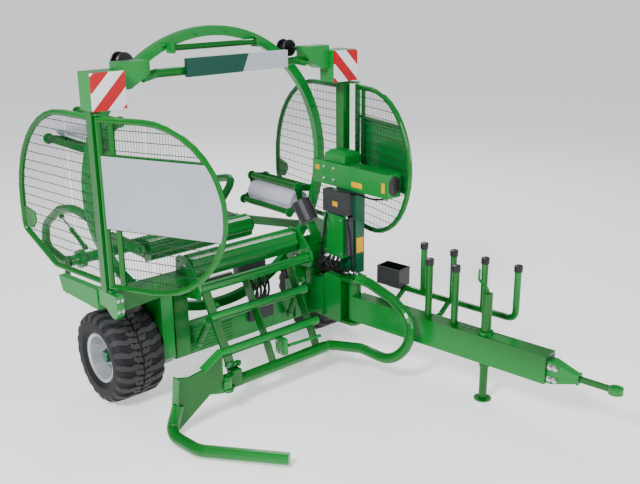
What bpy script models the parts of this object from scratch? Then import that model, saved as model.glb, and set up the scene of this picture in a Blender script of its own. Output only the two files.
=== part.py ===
"""Trailed round-bale wrapper with a vertical wrapping ring, built as separate parts on real joints.

Construction frame, in metres: +X towards the towing eye, +Y to the machine's left, +Z up, with the
ground at z = 0 and the wheel axis at x = 0. The finished machine hangs from one empty that puts the
origin at the bottom centre of its box.
"""

import math

import bpy
from mathutils import Matrix, Vector

# ---------------------------------------------------------------- shared
SEAT = 0.0003  # gap between two fixed parts that touch
RUN = 0.006  # gap between a turning part and its neighbour
PIN_PLAY = 0.002  # gap around a pin in its hole
ROUND = 20  # sides of a large round part
SMALL_ROUND = 12  # sides of a thin tube or pin
PLATE = 0.03  # thickness of chassis plate

# ---------------------------------------------------------------- ring and its rollers
RING_RADIUS = 1.39  # outside
RING_DEPTH = 0.09  # radial
RING_WIDTH = 0.07  # along X
RING_X = -0.10
RING_GROUND = 0.53  # lowest point above the ground
RING_Z = RING_RADIUS + RING_GROUND
RING_SEGMENTS = 96
RING_REAR = RING_X - RING_WIDTH / 2
RING_FRONT = RING_X + RING_WIDTH / 2
RING_INSIDE = RING_RADIUS - RING_DEPTH
SPOOL_CORE = 0.06  # radius that the ring runs on
SPOOL_FLANGE = 0.085
SPOOL_FLANGE_WIDTH = 0.022
SPOOL_Y = 0.92
SPOOL_REACH = RING_RADIUS + RUN + SPOOL_CORE
SPOOL_RISE = math.sqrt(SPOOL_REACH**2 - SPOOL_Y**2)
CHORD_HALF = 0.47  # the bar across the top of the ring
CHORD_RADIUS = 0.028
CHORD_DROP = 0.17  # below the ring's outside

# ---------------------------------------------------------------- film dispensers
ROLL_RADIUS = 0.125
ROLL_LENGTH = 0.75
ROLL_REACH = RING_RADIUS - 0.155
STRETCH_RADIUS = 0.034
STRETCH_REACH = RING_RADIUS - 0.265
STRETCH_SPREAD = 0.14
DISPENSER_ANGLES = {"1": math.radians(155), "2": math.radians(335)}
DISPENSER_BEAM = 0.06
DISPENSER_BEAM_SHIFT = 0.19
DISPENSER_PLATE = 0.02

# ---------------------------------------------------------------- running gear
TYRE_RADIUS = 0.4325
TYRE_WIDTH = 0.49
WHEEL_SIDES = 32
RIM_FLANGE = 0.24
RIM_WALL = 0.012
RIM_WIDTH = 0.43
BEAD_RADIUS = 0.216
STUB_RADIUS = 0.042
HUB_RADIUS = 0.09
RING_TO_TYRE = 0.07
RING_AT_TYRE = math.sqrt(RING_RADIUS**2 - (RING_Z - 2 * TYRE_RADIUS) ** 2)
TYRE_Y = RING_AT_TYRE + RING_TO_TYRE + TYRE_WIDTH / 2
LEG_THICK = 0.12
LEG_OUTER = TYRE_Y - TYRE_WIDTH / 2 - 0.015
LOWER_SPOOL_Y = LEG_OUTER - SPOOL_FLANGE - 0.005
LEG_INNER = LEG_OUTER - LEG_THICK
LEG_REAR = RING_FRONT + 0.105  # beside the ring, clear of the bar on its front
LEG_FOOT = -0.10  # below the ring, round the stub axle
LEG_FRONT = 0.34
LEG_LOW = 0.30
AXLE_RADIUS = 0.10
AXLE_X = 0.03
AXLE_Z = 0.40

# ---------------------------------------------------------------- chassis
UPRIGHT_FRONT = 0.30
UPRIGHT_OUT = 0.80
BEAM_DEPTH = 0.12
BEAM_LOW = 0.31
BEAM_HIGH = 0.60
ROLLER_RADIUS = 0.13
ROLLER_LENGTH = 1.24
ROLLER_SHAFT = 0.025
ROLLER_X = {"front": RING_X + 0.37, "rear": RING_X - 0.37}
ROLLER_Z = 1.18
RIBS = 8  # lobes round a roller
BULKHEAD_IN = ROLLER_LENGTH / 2 + 0.03
BULKHEAD_OUT = BULKHEAD_IN + PLATE
SHOULDER_LOW = 2 * TYRE_RADIUS + 0.105
SHOULDER_HIGH = SHOULDER_LOW + 0.18
SHOULDER_REAR = 0.16
SHOULDER_FRONT = 0.36
LOBE_FRONT = 0.43

DRUM = (0.16, 0.92, 1.40)
DRUM_AXIS = (0.6, 0, -0.8)
DRUM_HALF = 0.115
DRUM_RADIUS = 0.10

# ---------------------------------------------------------------- portal
POST = 0.09
POST_X = 0.23
POST_Y = RING_RADIUS + 0.01
HEAD_BOX = 0.31
HEAD_REAR = 0.14
HEAD_FRONT = 0.347
SPOOL_TOP = RING_Z + SPOOL_RISE
BAR_Z = SPOOL_TOP - 0.088
BAR_HEIGHT = 0.08
BAR_REAR = 0.16
BAR_FRONT = 0.25
POST_TOP = SPOOL_TOP - 0.328
HEAD_OUT = POST_Y + 0.06
HEAD_IN = HEAD_OUT - 0.30
BRACKET_IN = SPOOL_Y - 0.05
BRACKET_REAR = 0.12
BRACKET_FRONT = 0.28
SIGN_HEIGHT = 0.16
SIGN_RIGHT = -0.51
SIGN_LEFT = 0.62
SIGN_DEPTH = 0.04
BOARD = 0.306
BOARD_DEPTH = 0.02

# ---------------------------------------------------------------- side beams and rear frame
SIDE_SPLAY = math.radians(7)
SIDE_HEIGHT = 0.19
SIDE_THICK = 0.07
SIDE_FRONT = 0.13  # both measured back from the post
SIDE_REAR = 0.68
REAR_TUBE_X = -1.15
REAR_TUBE_Z = SHOULDER_LOW + 0.03
REAR_TUBE_Y = 1.10
REAR_TUBE_RADIUS = 0.055
TAIL_Y = 0.98
TAIL_RADIUS = 0.045
TABLE_LUG = 0.095
TABLE_BEND = RING_REAR - ROLL_LENGTH - 0.12  # behind the dispensers

# ---------------------------------------------------------------- guards
GUARD_TUBE = 0.027
HINGE_OUT = POST / 2 + GUARD_TUBE + RUN
HINGE_LUG = 0.02
HINGE_RISE = GUARD_TUBE + RUN + HINGE_LUG
GUARD_LOW = SHOULDER_HIGH + HINGE_RISE + 0.005
GUARD_HIGH = POST_TOP - 0.07
GUARD_CURVE = (GUARD_HIGH - GUARD_LOW) / 2
GUARD_MIDDLE = (GUARD_HIGH + GUARD_LOW) / 2
MESH_THICK = 0.005
SHEET_THICK = 0.004
SHEET_LOW = GUARD_LOW + 0.53
SHEET_HIGH = GUARD_LOW + 1.15
REAR_GUARD_LENGTH = 1.22
REAR_GUARD_LEVEL = 0.42  # straight top edge
REAR_GUARD_CORNER = 0.32  # cut off the lower corner
INNER_BAR = 0.12  # from the hinge
# name: side of the machine, end, degrees from +X when closed, straight edge, hinge (ahead, outward)
GUARDS = {
    "guard_front_right": (-1, "front", 25, 0.42, (HINGE_OUT, 0)),
    "guard_rear_right": (-1, "rear", 187, REAR_GUARD_LEVEL, (-HINGE_OUT, 0)),
    "guard_front_left": (1, "front", -14, 0.27, (HINGE_OUT + 0.035, 0.09)),
    "guard_rear_left": (1, "rear", 173, REAR_GUARD_LEVEL, (-HINGE_OUT, 0)),
}

# ---------------------------------------------------------------- loader and fork
LOADER_HALF = BULKHEAD_IN - 0.01
PIVOT_X = 0.50
PIVOT_Z = 1.04
PIVOT_PIN = 0.022
# rung: x, z, radius
RUNGS = {
    "top": (PIVOT_X, PIVOT_Z, 0.050),
    "upper": (0.635, 0.79, 0.044),
    "lower": (0.80, 0.505, 0.044),
    "bottom": (0.92, 0.255, 0.055),
}
RUNG_LEFT = 0.50
RAIL_WIDTH = 0.085
RAIL_THICK = 0.03
STRAP_THICK = 0.02
STRAP_WIDTH = 0.10
HOOP_RADIUS = 0.05
FORK_PIVOT = (0.985, -(LOADER_HALF + 0.075))
FORK_PIN = 0.02
FORK_TUBE = 0.052
FORK_Z = FORK_TUBE + 0.02
FORK_PLATE = 0.025

# ---------------------------------------------------------------- head and drawbar
HEAD_Y = 0.88
HEAD_LEFT = 1.14
HEAD_X = 0.74
HEAD_LOW = 0.34
HEAD_HIGH = 0.83
CLEVIS_X = 0.90
DRAWBAR_PIVOT = (0.82, 1.005)
DRAWBAR_SWING = math.radians(6.5)
DRAWBAR_WIDTH = 0.17
DRAWBAR_LOW = 0.39
DRAWBAR_HIGH = 0.65
DRAWBAR_LENGTH = 2.17
KING_PIN = 0.03
BOSS_RADIUS = 0.065
NECK = 0.26
EYE_REACH = 0.33  # from the neck's end to the eye's middle
EYE_X = DRAWBAR_LENGTH + NECK + EYE_REACH
EYE_Z = 0.50
EYE_RADIUS = 0.062
EYE_BORE = 0.034
EYE_THICK = 0.05
PEG_RADIUS = 0.034
PEG_TOP = 1.22
PEG_PLACES = (0.90, 1.19)
RACK_OFFSET = 0.36
RACK_START = 0.16
RACK_END = 1.62
RACK_PITCH = 0.345
RACK_Z = 0.70
RACK_RADIUS = 0.032
JACK_PLACE = 1.53
JACK_OUTER = 0.047
JACK_LEG = 0.038
JACK_TOP = 1.04
FOOT_RADIUS = 0.08

# ---------------------------------------------------------------- power pack and tank beam
COLUMN_X = (0.52, 0.76)
COLUMN_Y = (1.07, 1.19)
TANK_X = (0.13, 1.20)
TANK_Y = (1.06, 1.24)
TANK_Z = (1.70, 1.935)
COVER_X = (0.28, 0.58)
COVER_Y = (1.09, 1.31)


# ================================================================ helpers
def clear_scene():
    for obj in list(bpy.data.objects):
        bpy.data.objects.remove(obj, do_unlink=True)


def material(name, colour, roughness, metallic=0.0):
    made = bpy.data.materials.new(name)
    made.use_nodes = True
    shader = made.node_tree.nodes["Principled BSDF"]
    shader.inputs["Base Color"].default_value = (*colour, 1.0)
    shader.inputs["Roughness"].default_value = roughness
    shader.inputs["Metallic"].default_value = metallic
    return made


def make_object(points, faces):
    """A mesh object from a closed list of points and faces, with its faces turned outwards."""
    mesh = bpy.data.meshes.new("piece")
    mesh.from_pydata([tuple(p) for p in points], [], faces)
    mesh.validate()
    volume = 0.0
    for face in mesh.polygons:
        corners = [mesh.vertices[i].co for i in face.vertices]
        for second, third in zip(corners[1:-1], corners[2:]):
            volume += corners[0].dot(second.cross(third))
    if volume < 0:
        mesh.flip_normals()
    obj = bpy.data.objects.new("piece", mesh)
    bpy.context.scene.collection.objects.link(obj)
    return obj


def loft(sections):
    """Joins like sections of points, and closes both ends."""
    count = len(sections[0])
    points = [point for section in sections for point in section]
    faces = [list(range(count)), list(range(len(points) - count, len(points)))[::-1]]
    for row in range(len(sections) - 1):
        for i in range(count):
            j = (i + 1) % count
            a, b = row * count, (row + 1) * count
            faces.append([a + i, b + i, b + j, a + j])
    return make_object(points, faces)


def block(x, y, z):
    """A box from (low, high) along each axis."""
    sections = [[(x[i], y[j], h) for i, j in ((0, 0), (1, 0), (1, 1), (0, 1))] for h in z]
    return loft(sections)


def prism(outline, axis, low, high):
    """An outline pushed along an axis. It holds (y, z) for x, (x, z) for y and (x, y) for z."""

    def at(pair, depth):
        coords = list(pair)
        coords.insert("xyz".index(axis), depth)
        return tuple(coords)

    return loft([[at(pair, depth) for pair in outline] for depth in (low, high)])


def strip(path, ahead, behind, low, high):
    """A bar of flat section that follows a path of (x, z), between two places along Y."""
    edges = ([], [])
    for i, (x, z) in enumerate(path):
        before, after = path[max(i - 1, 0)], path[min(i + 1, len(path) - 1)]
        length = math.dist(before, after)
        across = ((before[1] - after[1]) / length, (after[0] - before[0]) / length)
        for edge, reach in zip(edges, (ahead, -behind)):
            edge.append((x + across[0] * reach, z + across[1] * reach))
    return prism(edges[0] + edges[1][::-1], "y", low, high)


def frame_at(direction, up=Vector((0, 0, 1))):
    """Two unit vectors across a direction."""
    along = Vector(direction).normalized()
    if abs(along.dot(up)) > 0.99:
        up = Vector((1, 0, 0))
    side = along.cross(up).normalized()
    return side, side.cross(along).normalized()


def beam(start, end, width, height, up=Vector((0, 0, 1))):
    """A bar of rectangular section: width across, height towards up."""
    start, end = Vector(start), Vector(end)
    side, rise = frame_at(end - start, up)
    corners = ((-1, -1), (1, -1), (1, 1), (-1, 1))
    shifts = [side * (a * width / 2) + rise * (b * height / 2) for a, b in corners]
    return loft([[end_point + shift for shift in shifts] for end_point in (start, end)])


def circle(centre, side, rise, radius, sides):
    turns = [2 * math.pi * (i + 0.5) / sides for i in range(sides)]
    return [centre + side * radius * math.cos(t) + rise * radius * math.sin(t) for t in turns]


def rod(start, end, radius, sides=ROUND):
    start, end = Vector(start), Vector(end)
    side, rise = frame_at(end - start)
    return loft([circle(point, side, rise, radius, sides) for point in (start, end)])


def bend(corners, radius, steps=5):
    """The corners of a path, each turned into an arc of about this radius."""
    corners = [Vector(corner) for corner in corners]
    path = [corners[0]]
    for before, corner, after in zip(corners, corners[1:], corners[2:]):
        inward, outward = (before - corner).normalized(), (after - corner).normalized()
        half = inward.angle(outward) / 2
        reach = radius / math.tan(half)
        reach = min(reach, 0.49 * (before - corner).length, 0.49 * (after - corner).length)
        start, end = corner + inward * reach, corner + outward * reach
        for i in range(steps + 1):
            t = i / steps
            path.append(start * (1 - t) ** 2 + corner * 2 * t * (1 - t) + end * t**2)
    path.append(corners[-1])
    return path


def pipe(path, radius, sides=SMALL_ROUND):
    """A round tube swept along a path, without twist."""
    path = [Vector(point) for point in path]
    side, rise = frame_at(path[1] - path[0])
    sections = []
    for i, point in enumerate(path):
        before = (point - path[i - 1]).normalized() if i else (path[1] - path[0]).normalized()
        after = (path[i + 1] - point).normalized() if i < len(path) - 1 else before
        along = (before + after).normalized()
        side = (side - along * side.dot(along)).normalized()
        rise = side.cross(along)
        stretch = 1 / max(0.5, before.dot(along))
        across = after - before
        ring = []
        for spot in circle(Vector(), side, rise, radius, sides):
            if across.length > 1e-6:
                way = across.normalized()
                spot = spot + way * spot.dot(way) * (stretch - 1)
            ring.append(point + spot)
        sections.append(ring)
    return loft(sections)


def closed_pipe(path, radius, normal, sides=SMALL_ROUND):
    """A round tube along a closed flat path."""
    path = [Vector(point) for point in path]
    count = len(path)
    points, faces = [], []
    for i, point in enumerate(path):
        before = (point - path[i - 1]).normalized()
        after = (path[(i + 1) % count] - point).normalized()
        along = (before + after).normalized()
        out = along.cross(normal).normalized() / max(0.5, before.dot(along))
        points += circle(point, out, normal, radius, sides)
    for i in range(count):
        a, b = i * sides, ((i + 1) % count) * sides
        for k in range(sides):
            m = (k + 1) % sides
            faces.append([a + k, b + k, b + m, a + m])
    return make_object(points, faces)


def turned(profile, origin, axis, sides=ROUND, lobes=0, lobe_depth=0.0):
    """A closed profile of (radius, along) turned round an axis."""
    origin, along = Vector(origin), Vector(axis).normalized()
    side, rise = frame_at(along)
    points, faces = [], []
    for i in range(sides):
        turn = 2 * math.pi * (i + 0.5) / sides
        way = side * math.cos(turn) + rise * math.sin(turn)
        dip = lobe_depth * (0.5 - 0.5 * math.cos(lobes * turn)) if lobes else 0.0
        for radius, reach in profile:
            points.append(origin + way * (radius - (dip if radius > ROLLER_SHAFT * 2 else 0)) + along * reach)
    rows = len(profile)
    for i in range(sides):
        j = (i + 1) % sides
        for k in range(rows):
            m = (k + 1) % rows
            faces.append([i * rows + k, j * rows + k, j * rows + m, i * rows + m])
    return make_object(points, faces)


def combine(pieces, operation):
    """The first piece with the others added or cut away, as one new mesh."""
    base = pieces[0]
    for other in pieces[1:]:
        step = base.modifiers.new("combine", "BOOLEAN")
        step.operation = operation
        step.solver = "EXACT"
        step.object = other
    bpy.context.view_layer.update()
    graph = bpy.context.evaluated_depsgraph_get()
    mesh = bpy.data.meshes.new_from_object(base.evaluated_get(graph))
    for piece in pieces:
        bpy.data.objects.remove(piece, do_unlink=True)
    obj = bpy.data.objects.new("piece", mesh)
    bpy.context.scene.collection.objects.link(obj)
    return obj


def weld(*pieces):
    return combine(list(pieces), "UNION")


def cut(piece, *cutters):
    return combine([piece, *cutters], "DIFFERENCE")


def mirror(piece):
    """The same piece on the other side of the machine."""
    piece.data.transform(Matrix.Scale(-1, 4, (0, 1, 0)))
    piece.data.flip_normals()
    return piece


class Machine:
    """The empties that carry the bodies, and the finished nodes under them."""

    def __init__(self):
        self.origin = self.empty("machine", (0, 0, 0), None)
        self.bodies = {"root": self.origin}
        self.nodes = []

    def empty(self, name, place, parent):
        made = bpy.data.objects.new(name, None)
        bpy.context.scene.collection.objects.link(made)
        made.parent = parent
        made.location = Vector(place) - (parent.matrix_world.translation if parent else Vector())
        bpy.context.view_layer.update()
        return made

    def body(self, name, place, parent="root"):
        """An empty on a body's joint axis, under the body that carries it."""
        self.bodies[name] = self.empty("axis_" + name, place, self.bodies[parent])

    def add(self, name, paint, piece, body="root"):
        piece.name = name
        piece.data.name = name
        piece.data.materials.clear()
        piece.data.materials.append(paint)
        piece.data.shade_smooth()
        piece.data.set_sharp_from_angle(angle=math.radians(32))
        carrier = self.bodies[body]
        piece.parent = carrier
        piece.matrix_parent_inverse = carrier.matrix_world.inverted()
        self.nodes.append(piece)
        return piece

    def settle(self):
        """Moves the origin to the bottom centre of the whole machine's box."""
        bpy.context.view_layer.update()
        spots = [node.matrix_world @ v.co for node in self.nodes for v in node.data.vertices]
        low = [min(spot[i] for spot in spots) for i in range(3)]
        high = [max(spot[i] for spot in spots) for i in range(3)]
        self.origin.location = (-(low[0] + high[0]) / 2, -(low[1] + high[1]) / 2, -low[2])


clear_scene()
machine = Machine()
GREEN = material("machine_green", (0.010, 0.300, 0.040), 0.32)
DARK_GREEN = material("deep_green", (0.008, 0.115, 0.040), 0.35)
SILVER = material("rim_silver", (0.62, 0.64, 0.66), 0.30, 0.8)
TYRE_BLACK = material("tyre_black", (0.020, 0.021, 0.024), 0.80)
PLASTIC_BLACK = material("plastic_black", (0.018, 0.019, 0.022), 0.45)
SIGN_SILVER = material("sign_silver", (0.55, 0.57, 0.62), 0.40, 0.2)
FILM_WHITE = material("film_white", (0.80, 0.78, 0.88), 0.35)
BOARD_WHITE = material("board_white", (0.82, 0.82, 0.82), 0.45)
WIRE_GREEN = material("wire_green", (0.030, 0.200, 0.070), 0.40)


# ================================================================ wheels
def make_tyre(centre_y):
    half = TYRE_WIDTH / 2
    bead = RIM_WIDTH / 2 - RIM_WALL - SEAT
    right = [
        (BEAD_RADIUS + SEAT, bead * 0.93),
        (BEAD_RADIUS + SEAT, bead),
        (RIM_FLANGE, bead),
        (0.29, half * 0.975),
        (0.35, half),
        (0.395, half * 0.93),
        (TYRE_RADIUS - 0.012, half * 0.80),
        (TYRE_RADIUS, half * 0.55),
    ]
    left = [(radius, -reach) for radius, reach in reversed(right)]
    liner = [(BEAD_RADIUS + 0.02, -bead * 0.85), (BEAD_RADIUS + 0.02, bead * 0.85)]
    return turned(right + left + liner, (0, centre_y, TYRE_RADIUS), (0, 1, 0), WHEEL_SIDES)


def make_rim(centre_y, side):
    """The well, its two flanges, the dished disc and the hub, as one turned part."""
    half = RIM_WIDTH / 2
    outer = BEAD_RADIUS
    inner = outer - RIM_WALL
    bore = STUB_RADIUS + PIN_PLAY
    dish = 0.06
    profile = [
        (bore, -0.02),
        (HUB_RADIUS, -0.02),
        (HUB_RADIUS, dish - 0.015),
        (inner, dish - 0.03),
        (inner, -half + RIM_WALL),
        (RIM_FLANGE - 0.01, -half),
        (RIM_FLANGE, -half + RIM_WALL),
        (outer, -half + RIM_WALL),
        (outer, -half * 0.6),
        (outer - 0.02, -half * 0.45),
        (outer - 0.02, half * 0.45),
        (outer, half * 0.6),
        (outer, half - RIM_WALL),
        (RIM_FLANGE, half - RIM_WALL),
        (RIM_FLANGE - 0.01, half),
        (inner, half - RIM_WALL),
        (inner - 0.015, half * 0.55),
        (inner - 0.015, dish + 0.005),
        (HUB_RADIUS + 0.02, dish + 0.03),
        (HUB_RADIUS, dish + 0.03),
        (bore + 0.012, dish + 0.05),
        (bore, dish + 0.05),
    ]
    placed = [(radius, side * reach) for radius, reach in profile]
    return turned(placed, (0, centre_y, TYRE_RADIUS), (0, 1, 0), WHEEL_SIDES)


for side, name in ((-1, "right"), (1, "left")):
    machine.body(f"wheel_{name}", (0, side * TYRE_Y, TYRE_RADIUS))
    machine.add(f"tyre_{name}", TYRE_BLACK, make_tyre(side * TYRE_Y), f"wheel_{name}")
    machine.add(f"rim_{name}", SILVER, make_rim(side * TYRE_Y, side), f"wheel_{name}")


# ================================================================ chassis
def side_point(s, side=-1):
    """A point on the splayed line of the side beam and rear guard, s behind the post."""
    return POST_X - s * math.cos(SIDE_SPLAY), side * (POST_Y + s * math.sin(SIDE_SPLAY))


def make_chassis_side():
    """The right-hand leg with its stub axle, the shoulder over the tyre and the roller bulkhead."""
    leg_outline = [
        (LEG_REAR, TYRE_RADIUS + 0.22),
        (LEG_FOOT, TYRE_RADIUS + 0.17),
        (LEG_FOOT, LEG_LOW + 0.04),
        (LEG_FOOT + 0.05, LEG_LOW),
        (LEG_FRONT - 0.08, LEG_LOW),
        (LEG_FRONT, LEG_LOW + 0.08),
        (LEG_FRONT, SHOULDER_LOW + 0.05),
        (LEG_REAR, SHOULDER_LOW + 0.05),
    ]
    leg = prism(leg_outline, "y", -LEG_OUTER, -LEG_INNER)
    stub = rod((0, -LEG_OUTER + 0.02, TYRE_RADIUS), (0, -TYRE_Y - 0.10, TYRE_RADIUS), STUB_RADIUS)
    shoulder = loft(
        [
            [
                (SHOULDER_REAR, y, low),
                (SHOULDER_FRONT, y, low),
                (SHOULDER_FRONT, y, SHOULDER_HIGH - 0.01),
                (SHOULDER_REAR, y, SHOULDER_HIGH - 0.01),
            ]
            for y, low in ((-POST_Y + 0.02, SHOULDER_LOW), (-BULKHEAD_IN - 0.005, SHOULDER_LOW + 0.07))
        ]
    )
    x = ROLLER_X["front"]
    crown = ROLLER_Z + 0.10
    bulkhead_outline = [
        (x - 0.10, SHOULDER_LOW),
        (x + 0.06, SHOULDER_LOW - 0.05),
        (PIVOT_X + 0.03, PIVOT_Z - 0.09),
        (PIVOT_X + 0.06, PIVOT_Z),
        (PIVOT_X + 0.03, PIVOT_Z + 0.07),
        (x + 0.12, crown - 0.02),
        (x + 0.06, crown + 0.02),
        (x - 0.06, crown + 0.02),
        (x - 0.10, crown - 0.02),
    ]
    bulkhead = prism(bulkhead_outline, "y", -BULKHEAD_OUT, -BULKHEAD_IN)
    lobe_outline = [
        (LOBE_FRONT, SHOULDER_HIGH),
        (LOBE_FRONT, SHOULDER_LOW),
        (LOBE_FRONT - 0.04, SHOULDER_LOW - 0.035),
        (LOBE_FRONT - 0.10, SHOULDER_LOW - 0.035),
        (LOBE_FRONT - 0.20, SHOULDER_LOW + 0.03),
        (SHOULDER_REAR - 0.05, SHOULDER_LOW + 0.03),
        (SHOULDER_REAR - 0.05, SHOULDER_HIGH),
    ]
    lobe = prism(lobe_outline, "y", -POST_Y - 0.04, -POST_Y + 0.03)
    upright_x, upright_y = (UPRIGHT_FRONT - PLATE, UPRIGHT_FRONT), (-UPRIGHT_OUT, -BULKHEAD_IN)
    upright = block(upright_x, upright_y, (LEG_LOW + 0.03, SHOULDER_LOW + 0.08))
    body = weld(leg, stub, shoulder, bulkhead, lobe, upright)
    shaft_hole = rod(
        (x, -BULKHEAD_OUT - 0.1, ROLLER_Z), (x, -BULKHEAD_IN + 0.1, ROLLER_Z), ROLLER_SHAFT + PIN_PLAY
    )
    pin_hole = rod(
        (PIVOT_X, -BULKHEAD_OUT - 0.1, PIVOT_Z), (PIVOT_X, -BULKHEAD_IN + 0.1, PIVOT_Z), PIVOT_PIN + PIN_PLAY
    )
    return cut(body, shaft_hole, pin_hole)


def make_side_bracket():
    """The arm on the left shoulder that holds the side roller, which leans forwards."""
    foot = Vector((DRUM[0] + 0.20, DRUM[1], SHOULDER_HIGH - 0.04))
    return beam(foot, Vector(DRUM) + Vector(DRUM_AXIS) * (DRUM_HALF + 0.01), 0.10, 0.03, Vector((1, 0, 0)))


def make_side_roller():
    """The black roller that steadies the bale on the left."""
    middle, axis = Vector(DRUM), Vector(DRUM_AXIS)
    return rod(middle - axis * DRUM_HALF, middle + axis * (DRUM_HALF - SEAT), DRUM_RADIUS, 28)


def make_rear_frame():
    """Both side plates behind the posts, the arms that lean inwards and the rear cross tube."""
    middle = SHOULDER_HIGH - 0.02 - SIDE_HEIGHT / 2
    thick = Vector((0, SIDE_THICK / 2, 0))
    pieces = []
    for side in (-1, 1):
        front, rear = side_point(SIDE_FRONT, side), side_point(SIDE_REAR, side)
        outline = [
            (*front, middle - SIDE_HEIGHT / 2),
            (*rear, middle - SIDE_HEIGHT / 2 + 0.05),
            (rear[0] - 0.06, rear[1], middle + SIDE_HEIGHT / 2),
            (*front, middle + SIDE_HEIGHT / 2),
        ]
        pieces.append(loft([[Vector(p) + thick * k for p in outline] for k in (-1, 1)]))
        elbow = Vector((rear[0] + 0.04, rear[1], REAR_TUBE_Z + 0.01))
        tip = Vector((REAR_TUBE_X - 0.05, side * REAR_TUBE_Y, REAR_TUBE_Z))
        pieces.append(beam(elbow, tip, 0.05, 0.09))
    ends = [(REAR_TUBE_X, side * (REAR_TUBE_Y + 0.01), REAR_TUBE_Z) for side in (-1, 1)]
    return weld(rod(*ends, REAR_TUBE_RADIUS), *pieces)


machine.add("chassis_side_right", GREEN, make_chassis_side())
machine.add("chassis_side_left", GREEN, weld(mirror(make_chassis_side()), make_side_bracket()))
beam_x = (UPRIGHT_FRONT - PLATE - SEAT - BEAM_DEPTH, UPRIGHT_FRONT - PLATE - SEAT)
machine.add(
    "cross_beam",
    GREEN,
    block(beam_x, (-UPRIGHT_OUT, LEG_INNER - SEAT), (BEAM_LOW, BEAM_HIGH)),
)
axle_ends = [(AXLE_X, side * (LEG_INNER - SEAT), AXLE_Z) for side in (-1, 1)]
machine.add("axle_beam", GREEN, rod(*axle_ends, AXLE_RADIUS))
machine.add("rear_frame", GREEN, make_rear_frame())


# ================================================================ portal
def hinge_place(name):
    side, _, _, _, (ahead, outward) = GUARDS[name]
    return Vector((POST_X + ahead, side * (POST_Y + outward), 0))


def make_post(side):
    """A post with its head box and the lugs that the guards hang on."""
    x = (POST_X - POST / 2, POST_X + POST / 2)
    y = (side * (POST_Y + POST / 2), side * (POST_Y - POST / 2))
    post = block(x, y, (SHOULDER_HIGH + SEAT, POST_TOP + 0.01))
    head = block((HEAD_REAR, HEAD_FRONT), (side * HEAD_OUT, side * HEAD_IN), (POST_TOP, POST_TOP + HEAD_BOX))
    lugs = []
    for name in [name for name in GUARDS if GUARDS[name][0] == side]:
        hinge = hinge_place(name)
        tip = hinge + (hinge - Vector((POST_X, side * POST_Y, 0))).normalized() * 0.02
        for low in (GUARD_LOW - HINGE_RISE, GUARD_HIGH + HINGE_RISE - HINGE_LUG):
            lift = Vector((0, 0, low + HINGE_LUG / 2))
            lugs.append(beam(Vector((POST_X, side * POST_Y, 0)) + lift, tip + lift, 0.06, HINGE_LUG))
    return weld(post, head, *lugs)


def make_top_bar():
    """The bar between the head boxes, with the two brackets that carry the upper ring rollers."""
    end = HEAD_IN - SEAT
    inner = BRACKET_IN + 0.04
    x = (BAR_REAR + BAR_FRONT) / 2
    knee = inner - 0.14
    path = [(x, -inner, BAR_Z - 0.03), (x, -knee, BAR_Z), (x, knee, BAR_Z), (x, inner, BAR_Z - 0.03)]
    bar = pipe(bend(path, 0.2), BAR_HEIGHT / 2, 16)
    brackets = []
    for side in (-1, 1):
        sections = []
        for reach, low in ((end, BAR_Z - 0.10), (end - 0.10, BAR_Z - 0.10), (BRACKET_IN, BAR_Z + 0.01)):
            top = SPOOL_TOP + 0.035
            corners = ((BRACKET_REAR, low), (BRACKET_FRONT, low), (BRACKET_FRONT, top), (BRACKET_REAR, top))
            sections.append([(a, side * reach, b) for a, b in corners])
        brackets.append(loft(sections))
    return weld(bar, *brackets)


def make_ring_roller(y, z, pin_end):
    """A flanged roller on the ring's outside, on a pin that reaches forwards to its mounting."""
    half = RING_WIDTH / 2 + RUN
    outer = half + SPOOL_FLANGE_WIDTH
    profile = [
        (0.012, -outer),
        (SPOOL_FLANGE - 0.01, -outer),
        (SPOOL_FLANGE, -outer + 0.01),
        (SPOOL_FLANGE, -half - 0.004),
        (SPOOL_FLANGE - 0.004, -half),
        (SPOOL_CORE, -half),
        (SPOOL_CORE, half),
        (SPOOL_FLANGE - 0.004, half),
        (SPOOL_FLANGE, half + 0.004),
        (SPOOL_FLANGE, outer - 0.01),
        (SPOOL_FLANGE - 0.01, outer),
        (0.012, outer),
    ]
    roller = turned(profile, (RING_X, y, z), (1, 0, 0), 28)
    pin = rod((RING_X - outer - 0.008, y, z), (pin_end, y, z), 0.02, SMALL_ROUND)
    return weld(roller, pin)


machine.add("post_right", GREEN, make_post(-1))
machine.add("post_left", GREEN, make_post(1))
machine.add("top_bar", GREEN, make_top_bar())
machine.add(
    "sign_box",
    DARK_GREEN,
    block(
        (BAR_FRONT + SEAT, BAR_FRONT + SIGN_DEPTH),
        (SIGN_RIGHT, SIGN_LEFT),
        (BAR_Z - SIGN_HEIGHT / 2 + 0.03, BAR_Z + SIGN_HEIGHT / 2 + 0.03),
    ),
)
board_z = POST_TOP + HEAD_BOX / 2
for side, name in ((-1, "right"), (1, "left")):
    centre = side * (HEAD_IN + HEAD_OUT) / 2
    board = block(
        (HEAD_FRONT + SEAT, HEAD_FRONT + BOARD_DEPTH),
        (centre - BOARD / 2, centre + BOARD / 2),
        (board_z - BOARD / 2, board_z + BOARD / 2),
    )
    machine.add(f"warning_board_{name}", BOARD_WHITE, board)
    upper = make_ring_roller(side * SPOOL_Y, RING_Z + SPOOL_RISE, BRACKET_REAR - SEAT)
    machine.add(f"ring_roller_upper_{name}", PLASTIC_BLACK, upper)
    lower_z = RING_Z - math.sqrt(SPOOL_REACH**2 - LOWER_SPOOL_Y**2)
    lower_y = side * LOWER_SPOOL_Y
    lower = make_ring_roller(lower_y, lower_z, LEG_REAR - SEAT)
    machine.add(f"ring_roller_lower_{name}", PLASTIC_BLACK, lower)


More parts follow.
